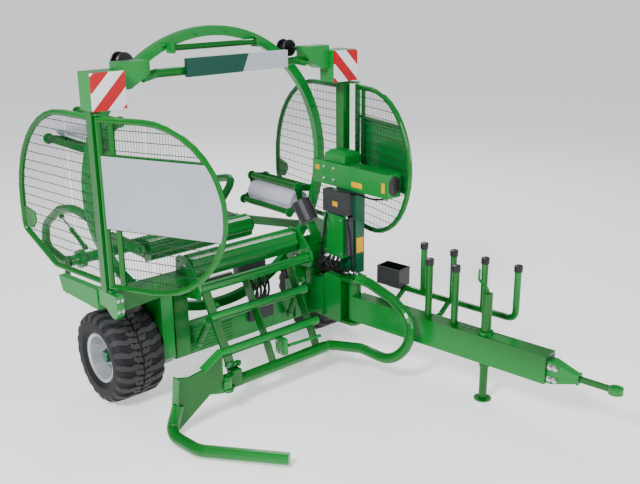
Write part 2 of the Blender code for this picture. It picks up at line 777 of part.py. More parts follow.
# ================================================================ wrapping ring
def ring_frame(angle):
    """Unit vectors outwards and along the ring at an angle from +Y."""
    out = Vector((0, math.cos(angle), math.sin(angle)))
    along = Vector((0, -math.sin(angle), math.cos(angle)))
    return out, along


def at_ring(angle, reach, shift, x):
    out, along = ring_frame(angle)
    return Vector((x, 0, RING_Z)) + out * reach + along * shift


def make_ring():
    half = RING_WIDTH / 2
    profile = [
        (RING_INSIDE, -half),
        (RING_RADIUS, -half),
        (RING_RADIUS, half),
        (RING_INSIDE, half),
    ]
    return turned(profile, (RING_X, 0, RING_Z), (1, 0, 0), RING_SEGMENTS)


def make_ring_bar():
    """A bar across the top of the ring, held off its front face by two clamps."""
    z = RING_Z + RING_RADIUS - CHORD_DROP
    x = RING_FRONT + 0.06
    bar = rod((x, -CHORD_HALF, z), (x, CHORD_HALF, z), CHORD_RADIUS, 16)
    clamps = [
        block((RING_FRONT + SEAT, x + 0.03), (y - 0.02, y + 0.02), (z - 0.045, z + 0.045))
        for y in (-CHORD_HALF, CHORD_HALF)
    ]
    return weld(bar, *clamps)


def make_dispenser(angle):
    """Two end plates, a carrying beam and two stretching rollers round the film roll's place."""
    front = RING_REAR - SEAT
    roll_front = front - DISPENSER_PLATE - 0.02
    rear = roll_front - ROLL_LENGTH - 0.02
    spots = (
        (STRETCH_REACH, -STRETCH_SPREAD),
        (ROLL_REACH, 0),
        (STRETCH_REACH, STRETCH_SPREAD),
        (RING_RADIUS - 0.07, DISPENSER_BEAM_SHIFT),
    )
    plates = []
    for low in (front - DISPENSER_PLATE, rear - DISPENSER_PLATE):
        high = low + DISPENSER_PLATE
        half = (low + high) / 2
        for r, t in spots:
            plates.append(rod(at_ring(angle, r, t, low), at_ring(angle, r, t, high), 0.052, 12))
        for (r0, t0), (r1, t1) in zip(spots, spots[1:]):
            first, last = at_ring(angle, r0, t0, half), at_ring(angle, r1, t1, half)
            plates.append(beam(first, last, 0.07, DISPENSER_PLATE - 0.002, Vector((1, 0, 0))))
    out, _ = ring_frame(angle)
    carrier = beam(
        at_ring(angle, RING_RADIUS - 0.07, DISPENSER_BEAM_SHIFT, rear - 0.005),
        at_ring(angle, RING_RADIUS - 0.07, DISPENSER_BEAM_SHIFT, front - 0.005),
        DISPENSER_BEAM,
        DISPENSER_BEAM,
        out,
    )
    rollers = [
        rod(
            at_ring(angle, STRETCH_REACH, shift, rear - 0.005),
            at_ring(angle, STRETCH_REACH, shift, front - 0.005),
            STRETCH_RADIUS,
            16,
        )
        for shift in (-STRETCH_SPREAD, STRETCH_SPREAD)
    ]
    return weld(*plates, carrier, *rollers)


def make_film_roll(angle):
    """The film on its core, held between the end plates by a spindle."""
    front = RING_REAR - SEAT - DISPENSER_PLATE - 0.02
    rear = front - ROLL_LENGTH
    film = rod(at_ring(angle, ROLL_REACH, 0, rear), at_ring(angle, ROLL_REACH, 0, front), ROLL_RADIUS, 28)
    spindle = rod(
        at_ring(angle, ROLL_REACH, 0, rear - 0.02 + SEAT),
        at_ring(angle, ROLL_REACH, 0, front + 0.02 - SEAT),
        0.038,
        16,
    )
    return weld(film, spindle)


machine.body("ring", (RING_X, 0, RING_Z))
machine.add("wrapping_ring", GREEN, make_ring(), "ring")
machine.add("ring_bar", GREEN, make_ring_bar(), "ring")
for name, angle in DISPENSER_ANGLES.items():
    machine.add(f"film_dispenser_{name}", GREEN, make_dispenser(angle), "ring")
    machine.add(f"film_roll_{name}", FILM_WHITE, make_film_roll(angle), "ring")


# ================================================================ bale rollers
def make_roller(x):
    half = ROLLER_LENGTH / 2
    reach = BULKHEAD_OUT + 0.012
    profile = [
        (ROLLER_SHAFT, -reach),
        (ROLLER_SHAFT, -half),
        (ROLLER_RADIUS, -half),
        (ROLLER_RADIUS, half),
        (ROLLER_SHAFT, half),
        (ROLLER_SHAFT, reach),
        (0.008, reach),
        (0.008, -reach),
    ]
    return turned(profile, (x, 0, ROLLER_Z), (0, 1, 0), 6 * RIBS, RIBS, 0.016)


def make_rear_table():
    """Two arms from the rear cross tube to the rear roller, and the tube that ties them."""
    x = ROLLER_X["rear"]
    pieces = []
    holes = []
    for side in (-1, 1):
        ends = sorted((side * BULKHEAD_IN, side * BULKHEAD_OUT))
        outline = [
            (REAR_TUBE_X - TABLE_LUG, REAR_TUBE_Z - 0.03),
            (REAR_TUBE_X - 0.04, REAR_TUBE_Z - TABLE_LUG),
            (REAR_TUBE_X + 0.05, REAR_TUBE_Z - TABLE_LUG),
            (REAR_TUBE_X + TABLE_LUG, REAR_TUBE_Z - 0.03),
            (TABLE_BEND, ROLLER_Z - 0.063),
            (x + 0.04, ROLLER_Z - 0.06),
            (x + 0.07, ROLLER_Z),
            (x + 0.04, ROLLER_Z + 0.06),
            (TABLE_BEND - 0.05, ROLLER_Z + 0.06),
            (REAR_TUBE_X - 0.06, REAR_TUBE_Z + 0.09),
        ]
        pieces.append(prism(outline, "y", *ends))
        reach = (side * (BULKHEAD_IN - 0.1), side * (BULKHEAD_OUT + 0.1))
        for spot, radius in (((x, ROLLER_Z), ROLLER_SHAFT), ((REAR_TUBE_X, REAR_TUBE_Z), REAR_TUBE_RADIUS)):
            start, end = [(spot[0], y, spot[1]) for y in reach]
            holes.append(rod(start, end, radius + PIN_PLAY + 0.002))
    tie_x, tie_z = x - 0.30, ROLLER_Z
    tie = rod((tie_x, -BULKHEAD_IN - 0.01, tie_z), (tie_x, BULKHEAD_IN + 0.01, tie_z), 0.035, SMALL_ROUND)
    for side in (-1, 1):
        y = side * TAIL_Y
        tail = [
            (REAR_TUBE_X + 0.02, side * (BULKHEAD_IN + 0.01), ROLLER_Z),
            (REAR_TUBE_X + 0.02, y, ROLLER_Z + 0.36),
            (REAR_TUBE_X - 0.40, y, ROLLER_Z + 0.26),
            (REAR_TUBE_X - 0.78, y, ROLLER_Z + 0.02),
            (REAR_TUBE_X - 0.84, y, REAR_TUBE_Z - 0.06),
            (REAR_TUBE_X - 0.36, y, REAR_TUBE_Z - 0.13),
            (REAR_TUBE_X - 0.04, y, REAR_TUBE_Z),
        ]
        pieces.append(pipe(bend(tail, 0.24, 4), TAIL_RADIUS))
        ends = [(REAR_TUBE_X, y + shift, REAR_TUBE_Z) for shift in (-0.03, 0.03)]
        pieces.append(rod(*ends, TABLE_LUG, 24))
        ends = [(REAR_TUBE_X, y + shift, REAR_TUBE_Z) for shift in (-0.1, 0.1)]
        holes.append(rod(*ends, REAR_TUBE_RADIUS + PIN_PLAY + 0.002))
    return cut(weld(*pieces, tie), *holes)


machine.body("front_roller", (ROLLER_X["front"], 0, ROLLER_Z))
machine.add("front_roller", GREEN, make_roller(ROLLER_X["front"]), "front_roller")
machine.body("rear_table", (REAR_TUBE_X, 0, REAR_TUBE_Z))
machine.add("rear_table", GREEN, make_rear_table(), "rear_table")
machine.body("rear_roller", (ROLLER_X["rear"], 0, ROLLER_Z), "rear_table")
machine.add("rear_roller", GREEN, make_roller(ROLLER_X["rear"]), "rear_roller")


# ================================================================ loader and fork
def make_loader():
    """The ladder of rungs on a flat right-hand rail and two curved straps, with its pivot pins."""
    pieces = []
    for name, (x, z, radius) in RUNGS.items():
        left = LOADER_HALF if name == "top" else RUNG_LEFT
        pieces.append(rod((x, -LOADER_HALF, z), (x, left, z), radius, 16))
    path = [(x, z) for x, z, _ in RUNGS.values()]
    rail = (-LOADER_HALF + 0.004, -LOADER_HALF + 0.004 + RAIL_WIDTH)
    pieces.append(strip(path, RAIL_THICK * 0.6, RAIL_THICK * 0.4, *rail))
    for y in (-0.12, RUNG_LEFT - 0.08):
        place = (y - STRAP_THICK / 2, y + STRAP_THICK / 2)
        pieces.append(strip(path, 0.02, STRAP_WIDTH - 0.02, *place))
    pin = rod(
        (PIVOT_X, -BULKHEAD_OUT - 0.012, PIVOT_Z), (PIVOT_X, BULKHEAD_OUT + 0.012, PIVOT_Z), PIVOT_PIN, 16
    )
    x, z, radius = RUNGS["bottom"]
    corner = block((x - 0.03, x + 0.055), (-LOADER_HALF - 0.012, -LOADER_HALF + 0.09), (z - 0.03, z + 0.13))
    px, py = FORK_PIVOT
    ears = []
    for low in (z - 0.03, z + 0.09):
        outline = [
            (px - 0.045, -LOADER_HALF + 0.01),
            (px - 0.045, py - 0.02),
            (px - 0.02, py - 0.045),
            (px + 0.02, py - 0.045),
            (px + 0.045, py - 0.02),
            (px + 0.045, py + 0.02),
            (px - 0.01, -LOADER_HALF + 0.01),
        ]
        ears.append(prism(outline, "z", low, low + 0.03))
    king = rod((px, py, z - 0.035), (px, py, z + 0.125), FORK_PIN, SMALL_ROUND)
    return weld(*pieces, pin, corner, *ears, king)


def make_hoop():
    """The bale guide: a bent tube from the ladder's foot round to the chassis head."""
    x, z, _ = RUNGS["bottom"]
    path = [
        (x, RUNG_LEFT + SEAT, z),
        (x, RUNG_LEFT + 0.06, z),
        (1.26, 0.67, 0.30),
        (1.57, 0.74, 0.25),
        (1.71, 0.84, 0.40),
        (1.69, 0.90, 0.66),
        (1.42, 0.915, 0.79),
        (1.12, 0.91, 0.87),
        (0.97, 0.90, 0.88),
    ]
    return pipe(bend(path, 0.30, 5), HOOP_RADIUS)


def make_fork():
    """The arm that hangs outwards from the loader's right foot and runs forwards along the ground."""
    x, y = FORK_PIVOT
    z = RUNGS["bottom"][1]
    boss = rod((x, y, z + RUN), (x, y, z + 0.09 - RUN), 0.038, 16)
    knuckle = block((x - 0.03, x + 0.03), (y - 0.06, y - 0.02), (z + RUN, z + 0.09 - RUN))
    outline = [
        (y - 0.055, z - 0.03),
        (y - 0.055, z + 0.38),
        (y - 0.26, z + 0.26),
        (y - 0.40, z + 0.24),
        (y - 0.52, z + 0.27),
        (y - 0.56, z - 0.08),
        (y - 0.53, FORK_Z - 0.03),
        (y - 0.20, z + 0.01),
    ]
    plate = prism(outline, "x", x - FORK_PLATE / 2, x + FORK_PLATE / 2)
    flange_top = beam((x, y - 0.055, z + 0.38), (x, y - 0.26, z + 0.26), 0.09, 0.014, Vector((0, -0.5, 1)))
    flange_out = beam((x, y - 0.52, z + 0.27), (x, y - 0.56, z - 0.08), 0.09, 0.014, Vector((0, 1, 0)))
    path = [
        (x, y - 0.52, z + 0.02),
        (x + 0.01, y - 0.60, FORK_Z + 0.02),
        (x + 0.12, y - 0.645, FORK_Z),
        (x + 0.43, y - 0.62, FORK_Z),
        (x + 1.03, y - 0.15, FORK_Z),
    ]
    tube = pipe(bend(path, 0.24, 7), FORK_TUBE, 14)
    arm = weld(plate, knuckle, flange_top, flange_out, tube, boss)
    hole = rod((x, y, z - 0.1), (x, y, z + 0.2), FORK_PIN + PIN_PLAY, SMALL_ROUND)
    return cut(arm, hole)


machine.body("loader", (PIVOT_X, 0, PIVOT_Z))
machine.add("loader_ladder", GREEN, make_loader(), "loader")
machine.add("loader_hoop", GREEN, make_hoop(), "loader")
machine.body("fork", (*FORK_PIVOT, RUNGS["bottom"][1]), "loader")
machine.add("fork_arm", GREEN, make_fork(), "fork")


# ================================================================ chassis head and drawbar
def along_drawbar(s, offset, z):
    """A point s along the drawbar from its pivot, and offset to its left."""
    cos, sin = math.cos(DRAWBAR_SWING), math.sin(DRAWBAR_SWING)
    x, y = DRAWBAR_PIVOT
    return Vector((x + s * cos - offset * sin, y + s * sin + offset * cos, z))


def make_head():
    """The box on the left leg, with the two plates that hold the drawbar's pin."""
    rear = TYRE_RADIUS + 0.03
    outline = [
        (rear, HEAD_LOW),
        (HEAD_X, HEAD_LOW),
        (HEAD_X, HEAD_HIGH),
        (rear + 0.05, HEAD_HIGH),
        (rear, HEAD_HIGH - 0.05),
    ]
    box = prism(outline, "y", HEAD_Y, HEAD_LEFT)
    neck_y = (LEG_INNER + 0.01, LEG_OUTER - 0.01)
    neck = block((LEG_FRONT + SEAT, rear + 0.03), neck_y, (HEAD_LOW + 0.02, HEAD_HIGH - 0.06))
    plates = []
    for low, high in ((HEAD_LOW, HEAD_LOW + 0.03), (HEAD_HIGH - 0.03, HEAD_HIGH + 0.002)):
        shape = [
            (HEAD_X - 0.05, HEAD_Y + 0.005),
            (CLEVIS_X - 0.03, HEAD_Y + 0.02),
            (CLEVIS_X, HEAD_Y + 0.07),
            (CLEVIS_X, HEAD_LEFT - 0.07),
            (CLEVIS_X - 0.03, HEAD_LEFT - 0.02),
            (HEAD_X - 0.05, HEAD_LEFT - 0.005),
        ]
        plates.append(prism(shape, "z", low, high))
    x, y = DRAWBAR_PIVOT
    pin = rod((x, y, HEAD_LOW - 0.015), (x, y, HEAD_HIGH + 0.03), KING_PIN, 16)
    relief = rod((x, y, HEAD_LOW + 0.03), (x, y, HEAD_HIGH - 0.03), BOSS_RADIUS + RUN + 0.006, 24)
    return weld(cut(weld(box, neck), relief), *plates, pin)


def make_drawbar():
    """A box beam with its pivot boss, the film pegs on its top and the jack's through hole."""
    start, end = along_drawbar(0.02, 0, 0.52), along_drawbar(DRAWBAR_LENGTH, 0, 0.52)
    height = DRAWBAR_HIGH - DRAWBAR_LOW
    start.z = end.z = (DRAWBAR_HIGH + DRAWBAR_LOW) / 2
    box = beam(start, end, DRAWBAR_WIDTH, height)
    x, y = DRAWBAR_PIVOT
    throat = block((x - 0.2, x + BOSS_RADIUS * 0.55), (y - 0.4, y + 0.4), (0.1, 1.0))
    box = cut(box, throat)
    boss = rod((x, y, HEAD_LOW + 0.03 + RUN), (x, y, HEAD_HIGH - 0.03 - RUN), BOSS_RADIUS, 24)
    pegs = [
        rod(along_drawbar(s, 0, DRAWBAR_HIGH - 0.01), along_drawbar(s, 0, PEG_TOP), PEG_RADIUS, 16)
        for s in PEG_PLACES
    ]
    neck = loft(
        [
            [
                along_drawbar(DRAWBAR_LENGTH + reach, a * wide / 2, EYE_Z + b * tall / 2)
                for a, b in ((-1, -1), (1, -1), (1, 1), (-1, 1))
            ]
            for reach, wide, tall in ((-0.01, 0.12, 0.20), (0.05, 0.12, 0.20), (NECK, 0.07, 0.08))
        ]
    )
    body = weld(box, boss, neck, *pegs)
    king = rod((x, y, 0.2), (x, y, 1.0), KING_PIN + PIN_PLAY, 16)
    foot = along_drawbar(JACK_PLACE, 0, 0.2)
    top = along_drawbar(JACK_PLACE, 0, 0.9)
    return cut(body, king, rod(foot, top, JACK_OUTER + SEAT, 20))


def make_eye():
    """The towing eye: a flat forged ring on a square shank."""
    start = DRAWBAR_LENGTH + NECK + SEAT
    shank = beam(along_drawbar(start, 0, EYE_Z), along_drawbar(EYE_X - 0.05, 0, EYE_Z), 0.045, 0.04)
    flange = beam(along_drawbar(start, 0, EYE_Z), along_drawbar(start + 0.02, 0, EYE_Z), 0.08, 0.09)
    centre = along_drawbar(EYE_X, 0, EYE_Z)
    half = Vector((0, 0, EYE_THICK / 2))
    ring = rod(centre - half, centre + half, EYE_RADIUS, 24)
    bore = rod(centre - half * 2, centre + half * 2, EYE_BORE, 24)
    return cut(weld(flange, shank, ring), bore)


def make_rack():
    """The side rack for spare film rolls: a bent tube with three pegs, on two arms."""
    rail = [
        along_drawbar(RACK_START, RACK_OFFSET, RACK_Z),
        along_drawbar(RACK_END, RACK_OFFSET, RACK_Z),
        along_drawbar(RACK_END, RACK_OFFSET, PEG_TOP),
    ]
    pieces = [pipe(bend(rail, 0.09), RACK_RADIUS, 14)]
    for s in [RACK_END - RACK_PITCH * i for i in (1, 2, 3)]:
        base = along_drawbar(s, RACK_OFFSET, RACK_Z - 0.01)
        pieces.append(rod(base, along_drawbar(s, RACK_OFFSET, PEG_TOP), RACK_RADIUS, 14))
    for s in (RACK_START + 0.20, RACK_START + 0.74):
        start = along_drawbar(s, DRAWBAR_WIDTH / 2 + SEAT, DRAWBAR_HIGH - 0.05)
        middle = along_drawbar(s, DRAWBAR_WIDTH / 2 + 0.12, DRAWBAR_HIGH - 0.05)
        pieces.append(pipe(bend([start, middle, along_drawbar(s, RACK_OFFSET, RACK_Z)], 0.06), 0.026))
    return weld(*pieces)


def make_toolbox():
    """A plain open-topped box that sits on the rack's rear end."""
    s = (RACK_START - 0.06, RACK_START + 0.22)
    w = (RACK_OFFSET - 0.13, RACK_OFFSET + 0.05)
    z = (RACK_Z + RACK_RADIUS + SEAT, RACK_Z + RACK_RADIUS + 0.19)
    outline = [(s[0], w[0]), (s[1], w[0]), (s[1], w[1]), (s[0], w[1])]
    return loft([[along_drawbar(a, b, h) for a, b in outline] for h in z])


def make_jack_sleeve():
    centre = along_drawbar(JACK_PLACE, 0, 0)
    low, high = Vector((*centre.xy, DRAWBAR_LOW - 0.06)), Vector((*centre.xy, JACK_TOP))
    sleeve = rod(low, high, JACK_OUTER, 20)
    collar_ends = [Vector((*centre.xy, DRAWBAR_HIGH + rise)) for rise in (SEAT, 0.03)]
    collar = rod(*collar_ends, JACK_OUTER + 0.02, 20)
    bore = rod(low - Vector((0, 0, 0.1)), high - Vector((0, 0, 0.03)), JACK_LEG + PIN_PLAY + 0.001, 20)
    crank = [
        (centre.x, centre.y, JACK_TOP - 0.02),
        (centre.x, centre.y, JACK_TOP + 0.04),
        (centre.x - 0.12, centre.y + 0.02, JACK_TOP + 0.09),
        (centre.x - 0.12, centre.y + 0.02, JACK_TOP + 0.19),
    ]
    return weld(cut(weld(sleeve, collar), bore), pipe(bend(crank, 0.02, 3), 0.012, 10))


def make_jack_leg():
    centre = along_drawbar(JACK_PLACE, 0, 0)
    leg = rod(Vector((*centre.xy, 0.01)), Vector((*centre.xy, 0.70)), JACK_LEG, 20)
    foot = rod(Vector((*centre.xy, 0.0)), Vector((*centre.xy, 0.014)), FOOT_RADIUS, 24)
    return weld(leg, foot)


machine.add("chassis_head", GREEN, make_head())
machine.body("drawbar", (*DRAWBAR_PIVOT, DRAWBAR_LOW))
machine.add("drawbar_beam", GREEN, make_drawbar(), "drawbar")
machine.add("towing_eye", GREEN, make_eye(), "drawbar")
machine.add("film_rack", GREEN, make_rack(), "drawbar")
machine.add("toolbox", PLASTIC_BLACK, make_toolbox(), "drawbar")
machine.add("jack_sleeve", GREEN, make_jack_sleeve(), "drawbar")
machine.body("jack_leg", along_drawbar(JACK_PLACE, 0, 0), "drawbar")
machine.add("jack_leg", GREEN, make_jack_leg(), "jack_leg")


# ================================================================ power pack and tank beam
def make_tank_beam():
    """The box beam on the left, with the covered box on its top."""
    body = block(TANK_X, TANK_Y, TANK_Z)
    base = TANK_Z[1] - 0.01
    x, y = COVER_X, COVER_Y
    inset = 0.05
    sections = []
    for z, k in ((base, 0), (base + 0.09, 0), (base + 0.13, inset)):
        low_x, high_x, low_y, high_y = x[0] + k, x[1] - k, y[0] + k, y[1] - k
        sections.append([(low_x, low_y, z), (high_x, low_y, z), (high_x, high_y, z), (low_x, high_y, z)])
    return weld(body, loft(sections))


column_z = (HEAD_HIGH + 0.002 + SEAT, TANK_Z[0] - SEAT)
machine.add("pack_column", DARK_GREEN, block(COLUMN_X, COLUMN_Y, column_z))
machine.add("tank_beam", GREEN, make_tank_beam())
machine.add(
    "pack_cover",
    GREEN,
    block((SHOULDER_FRONT + 0.01, 0.66), (COLUMN_Y[0] - 0.085, COLUMN_Y[0] - SEAT), (0.99, 1.43)),
)
machine.add(
    "valve_block",
    PLASTIC_BLACK,
    block((0.38, 0.72), (COLUMN_Y[0] - 0.10, COLUMN_Y[0] - SEAT), (1.45, TANK_Z[0] - 0.02)),
)
filter_x, filter_y = 0.715, COLUMN_Y[0] - 0.045
machine.add(
    "oil_filter",
    PLASTIC_BLACK,
    weld(
        rod((filter_x, filter_y, 1.04), (filter_x, filter_y, 1.40), 0.043, 24),
        block((filter_x - 0.03, filter_x + 0.03), (filter_y - 0.03, COLUMN_Y[0] - SEAT), (1.385, 1.43)),
    ),
)
machine.add("side_roller", PLASTIC_BLACK, make_side_roller())


# ================================================================ guards
def guard_outline(end, straight):
    """The closed centreline of a guard's tube as (distance from the hinge, height)."""
    if end == "front":
        arc = [math.pi * (0.5 - i / 18) for i in range(19)]
        curve = [
            (straight + GUARD_CURVE * math.cos(a), GUARD_MIDDLE + GUARD_CURVE * math.sin(a)) for a in arc
        ]
        return [(0, GUARD_LOW), (0, GUARD_HIGH), *curve]
    drop = GUARD_CURVE * 1.28
    quarter = [math.pi / 2 * i / 10 for i in range(11)]
    curve = [
        (straight + (REAR_GUARD_LENGTH - straight) * math.sin(a), GUARD_HIGH - drop * (1 - math.cos(a)))
        for a in quarter
    ]
    corner = REAR_GUARD_CORNER
    tail = [
        (REAR_GUARD_LENGTH, GUARD_LOW + corner, 0),
        (REAR_GUARD_LENGTH - 0.02, GUARD_LOW + corner - 0.06, 0),
        (REAR_GUARD_LENGTH * 0.60, GUARD_LOW, 0),
        (0, GUARD_LOW, 0),
    ]
    path = bend([(*curve[-1], 0), *tail], 0.12, 3)
    return [(0, GUARD_HIGH), *curve, *[(p[0], p[1]) for p in path[1:]]]


def inside_span(outline, z):
    """How far a guard reaches from its hinge at a height."""
    reach = 0.0
    for (s0, z0), (s1, z1) in zip(outline, outline[1:] + outline[:1]):
        if (z0 - z) * (z1 - z) <= 0 and z0 != z1:
            reach = max(reach, s0 + (s1 - s0) * (z - z0) / (z1 - z0))
    return reach


def make_guard(name):
    """The frame, the mesh panel inside it and, on a front guard, its sheet."""
    side, end, degrees, straight, _ = GUARDS[name]
    turn = math.radians(degrees)
    way = Vector((math.cos(turn), math.sin(turn), 0))
    outward = Vector((-way.y, way.x, 0))
    if outward.y * side < 0:
        outward = -outward
    front = end == "front"
    hinge = hinge_place(name)

    def at(s, z, depth=0.0):
        return hinge + way * s + Vector((0, 0, z)) + outward * depth

    outline = guard_outline(end, straight)
    pieces = [closed_pipe([at(s, z) for s, z in outline], GUARD_TUBE, outward, 10)]
    if front:
        for z in (SHEET_LOW, SHEET_HIGH):
            pieces.append(beam(at(0, z), at(inside_span(outline, z), z), 0.026, 0.026))
        pieces.append(beam(at(INNER_BAR, GUARD_LOW), at(INNER_BAR, GUARD_HIGH), 0.05, 0.02, outward))
    else:
        edge = REAR_GUARD_LENGTH
        plate = [(edge, 1.48), (edge - 0.15, 1.50), (edge - 0.21, 1.58), (edge - 0.20, 1.66), (edge, 1.70)]
        pieces.append(loft([[at(s, z, depth) for s, z in plate] for depth in (-0.008, 0.008)]))
    frame = weld(*pieces)
    gap = GUARD_TUBE + SEAT
    edges = [[at(s, z, -depth) for s, z in outline] for depth in (gap, gap + MESH_THICK)]
    mesh = loft(edges)
    if not front:
        return frame, mesh, None
    steps = 8
    heights = [SHEET_LOW + (SHEET_HIGH - SHEET_LOW) * i / steps for i in range(steps + 1)]
    sheet = [(inside_span(outline, z), z) for z in heights] + [(0.02, SHEET_HIGH), (0.02, SHEET_LOW)]
    sheet_solid = loft([[at(s, z, depth) for s, z in sheet] for depth in (gap, gap + SHEET_THICK)])
    return frame, mesh, sheet_solid


for name in GUARDS:
    machine.body(name, hinge_place(name) + Vector((0, 0, GUARD_LOW)))
    frame, mesh, sheet = make_guard(name)
    machine.add(f"{name}_frame", GREEN, frame, name)
    machine.add(f"{name}_mesh", WIRE_GREEN, mesh, name)
    if sheet:
        machine.add(f"{name}_sheet", SIGN_SILVER, sheet, name)

machine.settle()
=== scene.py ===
"""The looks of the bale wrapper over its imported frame: paint, rubber, mesh wires, tread and fittings."""

import math

import bmesh
import bpy
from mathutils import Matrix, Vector


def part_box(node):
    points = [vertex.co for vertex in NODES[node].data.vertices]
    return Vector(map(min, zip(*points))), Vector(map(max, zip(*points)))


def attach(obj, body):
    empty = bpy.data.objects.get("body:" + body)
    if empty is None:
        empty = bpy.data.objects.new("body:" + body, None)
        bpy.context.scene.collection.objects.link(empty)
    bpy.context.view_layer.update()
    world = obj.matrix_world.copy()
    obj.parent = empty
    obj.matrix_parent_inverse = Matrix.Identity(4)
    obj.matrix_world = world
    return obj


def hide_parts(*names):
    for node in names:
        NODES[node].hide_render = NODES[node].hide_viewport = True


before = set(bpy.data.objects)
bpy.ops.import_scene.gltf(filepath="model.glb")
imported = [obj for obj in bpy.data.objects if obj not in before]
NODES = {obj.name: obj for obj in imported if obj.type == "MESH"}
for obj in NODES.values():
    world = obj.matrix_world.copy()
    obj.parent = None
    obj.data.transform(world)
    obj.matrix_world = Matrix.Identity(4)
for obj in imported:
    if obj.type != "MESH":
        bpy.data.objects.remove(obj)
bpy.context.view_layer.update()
SIDES = ((-1, "right"), (1, "left"))


def box(node):
    """A CAD node's lowest and highest corners."""
    low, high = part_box(node)
    return Vector(low), Vector(high)


def middle(node):
    low, high = box(node)
    return (low + high) / 2


# ================================================================ materials
CLOUD_SCALE = 2.2
COAT_ROUGHNESS = 0.06
SPECULAR = 0.3
EDGE_HIGHLIGHT_RANGE = (0.53, 0.60)  # pointiness where the painted edge highlight starts, and where it is complete
RELIEF = 0.001


def add_noise(nodes, links, place, scale, detail):
    made = nodes.new("ShaderNodeTexNoise")
    made.inputs["Scale"].default_value = scale
    made.inputs["Detail"].default_value = detail
    links.new(place, made.inputs["Vector"])
    return made.outputs["Fac"]


def surface(
    name, colour, roughness, metallic=0.0, coat=0.0, grain=60.0, mottle=0.07, bump=0.008, edge_highlight=None
):
    """A shader with slow tone changes, fine grain in its roughness and bump, and a painted highlight on its
    sharp edges.
    """
    made = bpy.data.materials.new(name)
    made.use_nodes = True
    nodes, links = made.node_tree.nodes, made.node_tree.links
    shader = nodes["Principled BSDF"]
    shader.inputs["Metallic"].default_value = metallic
    shader.inputs["Coat Weight"].default_value = coat
    shader.inputs["Coat Roughness"].default_value = COAT_ROUGHNESS
    shader.inputs["Specular IOR Level"].default_value = SPECULAR
    place = nodes.new("ShaderNodeTexCoord").outputs["Object"]
    cloud = add_noise(nodes, links, place, CLOUD_SCALE, 5.0)
    fine = add_noise(nodes, links, place, grain, 4.0)
    tone = nodes.new("ShaderNodeMix")
    tone.data_type = "RGBA"
    tone.inputs["A"].default_value = (*[c * (1 - mottle) for c in colour], 1)
    tone.inputs["B"].default_value = (*[min(1, c * (1 + mottle)) for c in colour], 1)
    links.new(cloud, tone.inputs["Factor"])
    last = tone.outputs["Result"]
    # painted highlight: sharp edges, found by pointiness, get a paler colour
    if edge_highlight:
        edge = nodes.new("ShaderNodeMapRange")
        edge.inputs["From Min"].default_value = EDGE_HIGHLIGHT_RANGE[0]
        edge.inputs["From Max"].default_value = EDGE_HIGHLIGHT_RANGE[1]
        links.new(nodes.new("ShaderNodeNewGeometry").outputs["Pointiness"], edge.inputs["Value"])
        mixed = nodes.new("ShaderNodeMix")
        mixed.data_type = "RGBA"
        mixed.inputs["B"].default_value = (*edge_highlight, 1)
        links.new(last, mixed.inputs["A"])
        links.new(edge.outputs["Result"], mixed.inputs["Factor"])
        last = mixed.outputs["Result"]
    links.new(last, shader.inputs["Base Color"])
    spread = nodes.new("ShaderNodeMapRange")
    spread.inputs["To Min"].default_value = max(0.02, roughness - 0.02)
    spread.inputs["To Max"].default_value = roughness + 0.03
    links.new(fine, spread.inputs["Value"])
    links.new(spread.outputs["Result"], shader.inputs["Roughness"])
    relief = nodes.new("ShaderNodeBump")
    relief.inputs["Strength"].default_value = bump
    relief.inputs["Distance"].default_value = RELIEF
    links.new(fine, relief.inputs["Height"])
    links.new(relief.outputs["Normal"], shader.inputs["Normal"])
    return made


def two_tone(made, mask, second):
    """Lays a second colour over a surface where a mask is 1."""
    nodes, links = made.node_tree.nodes, made.node_tree.links
    colour = nodes["Principled BSDF"].inputs["Base Color"]
    pick = nodes.new("ShaderNodeMix")
    pick.data_type = "RGBA"
    pick.inputs["B"].default_value = (*second, 1)
    links.new(colour.links[0].from_socket, pick.inputs["A"])
    links.new(mask, pick.inputs["Factor"])
    links.new(pick.outputs["Result"], colour)


def arithmetic(made, operation, first, second):
    """One step of arithmetic between sockets or numbers."""
    node = made.node_tree.nodes.new("ShaderNodeMath")
    node.operation = operation
    for socket, value in zip(node.inputs, (first, second)):
        if isinstance(value, (int, float)):
            socket.default_value = value
        else:
            made.node_tree.links.new(value, socket)
    return node.outputs["Value"]


def coordinates(made):
    """The x, y and z sockets of a point on the object, in metres."""
    split = made.node_tree.nodes.new("ShaderNodeSeparateXYZ")
    texture = made.node_tree.nodes.new("ShaderNodeTexCoord")
    made.node_tree.links.new(texture.outputs["Object"], split.inputs["Vector"])
    return split.outputs


# The paler second colours given below are painted highlights on sharp edges.
GREEN = surface("green_paint", (0.0, 0.115, 0.008), 0.26, coat=0.16, edge_highlight=(0.002, 0.22, 0.03))
DEEP = surface("deep_green_paint", (0.0, 0.042, 0.014), 0.30, coat=0.12, edge_highlight=(0.003, 0.10, 0.04))
RUBBER = surface("tyre_rubber", (0.0075, 0.008, 0.010), 0.62, grain=90, bump=0.25, edge_highlight=(0.035, 0.035, 0.038))
RIM = surface("rim_silver_paint", (0.50, 0.52, 0.55), 0.30, metallic=0.6, grain=120, mottle=0.06)
BLACK = surface("black_plastic", (0.0035, 0.004, 0.005), 0.34, grain=160, bump=0.12, edge_highlight=(0.04, 0.04, 0.045))
HOSE = surface("hose_rubber", (0.0035, 0.0035, 0.0045), 0.38, grain=260, bump=0.2)
SHEET = surface("silver_sheet", (0.42, 0.45, 0.50), 0.34, metallic=0.25, mottle=0.07)
FILM = surface("film_wrap", (0.66, 0.64, 0.76), 0.20, coat=0.5, grain=30, mottle=0.05)
STEEL = surface("zinc_steel", (0.55, 0.55, 0.56), 0.26, metallic=1.0, grain=200, mottle=0.1)
YELLOW = surface("blank_label_yellow", (0.85, 0.42, 0.0), 0.42, mottle=0.04)
WIRE = surface("mesh_wire_paint", (0.004, 0.045, 0.016), 0.40, coat=0.1)

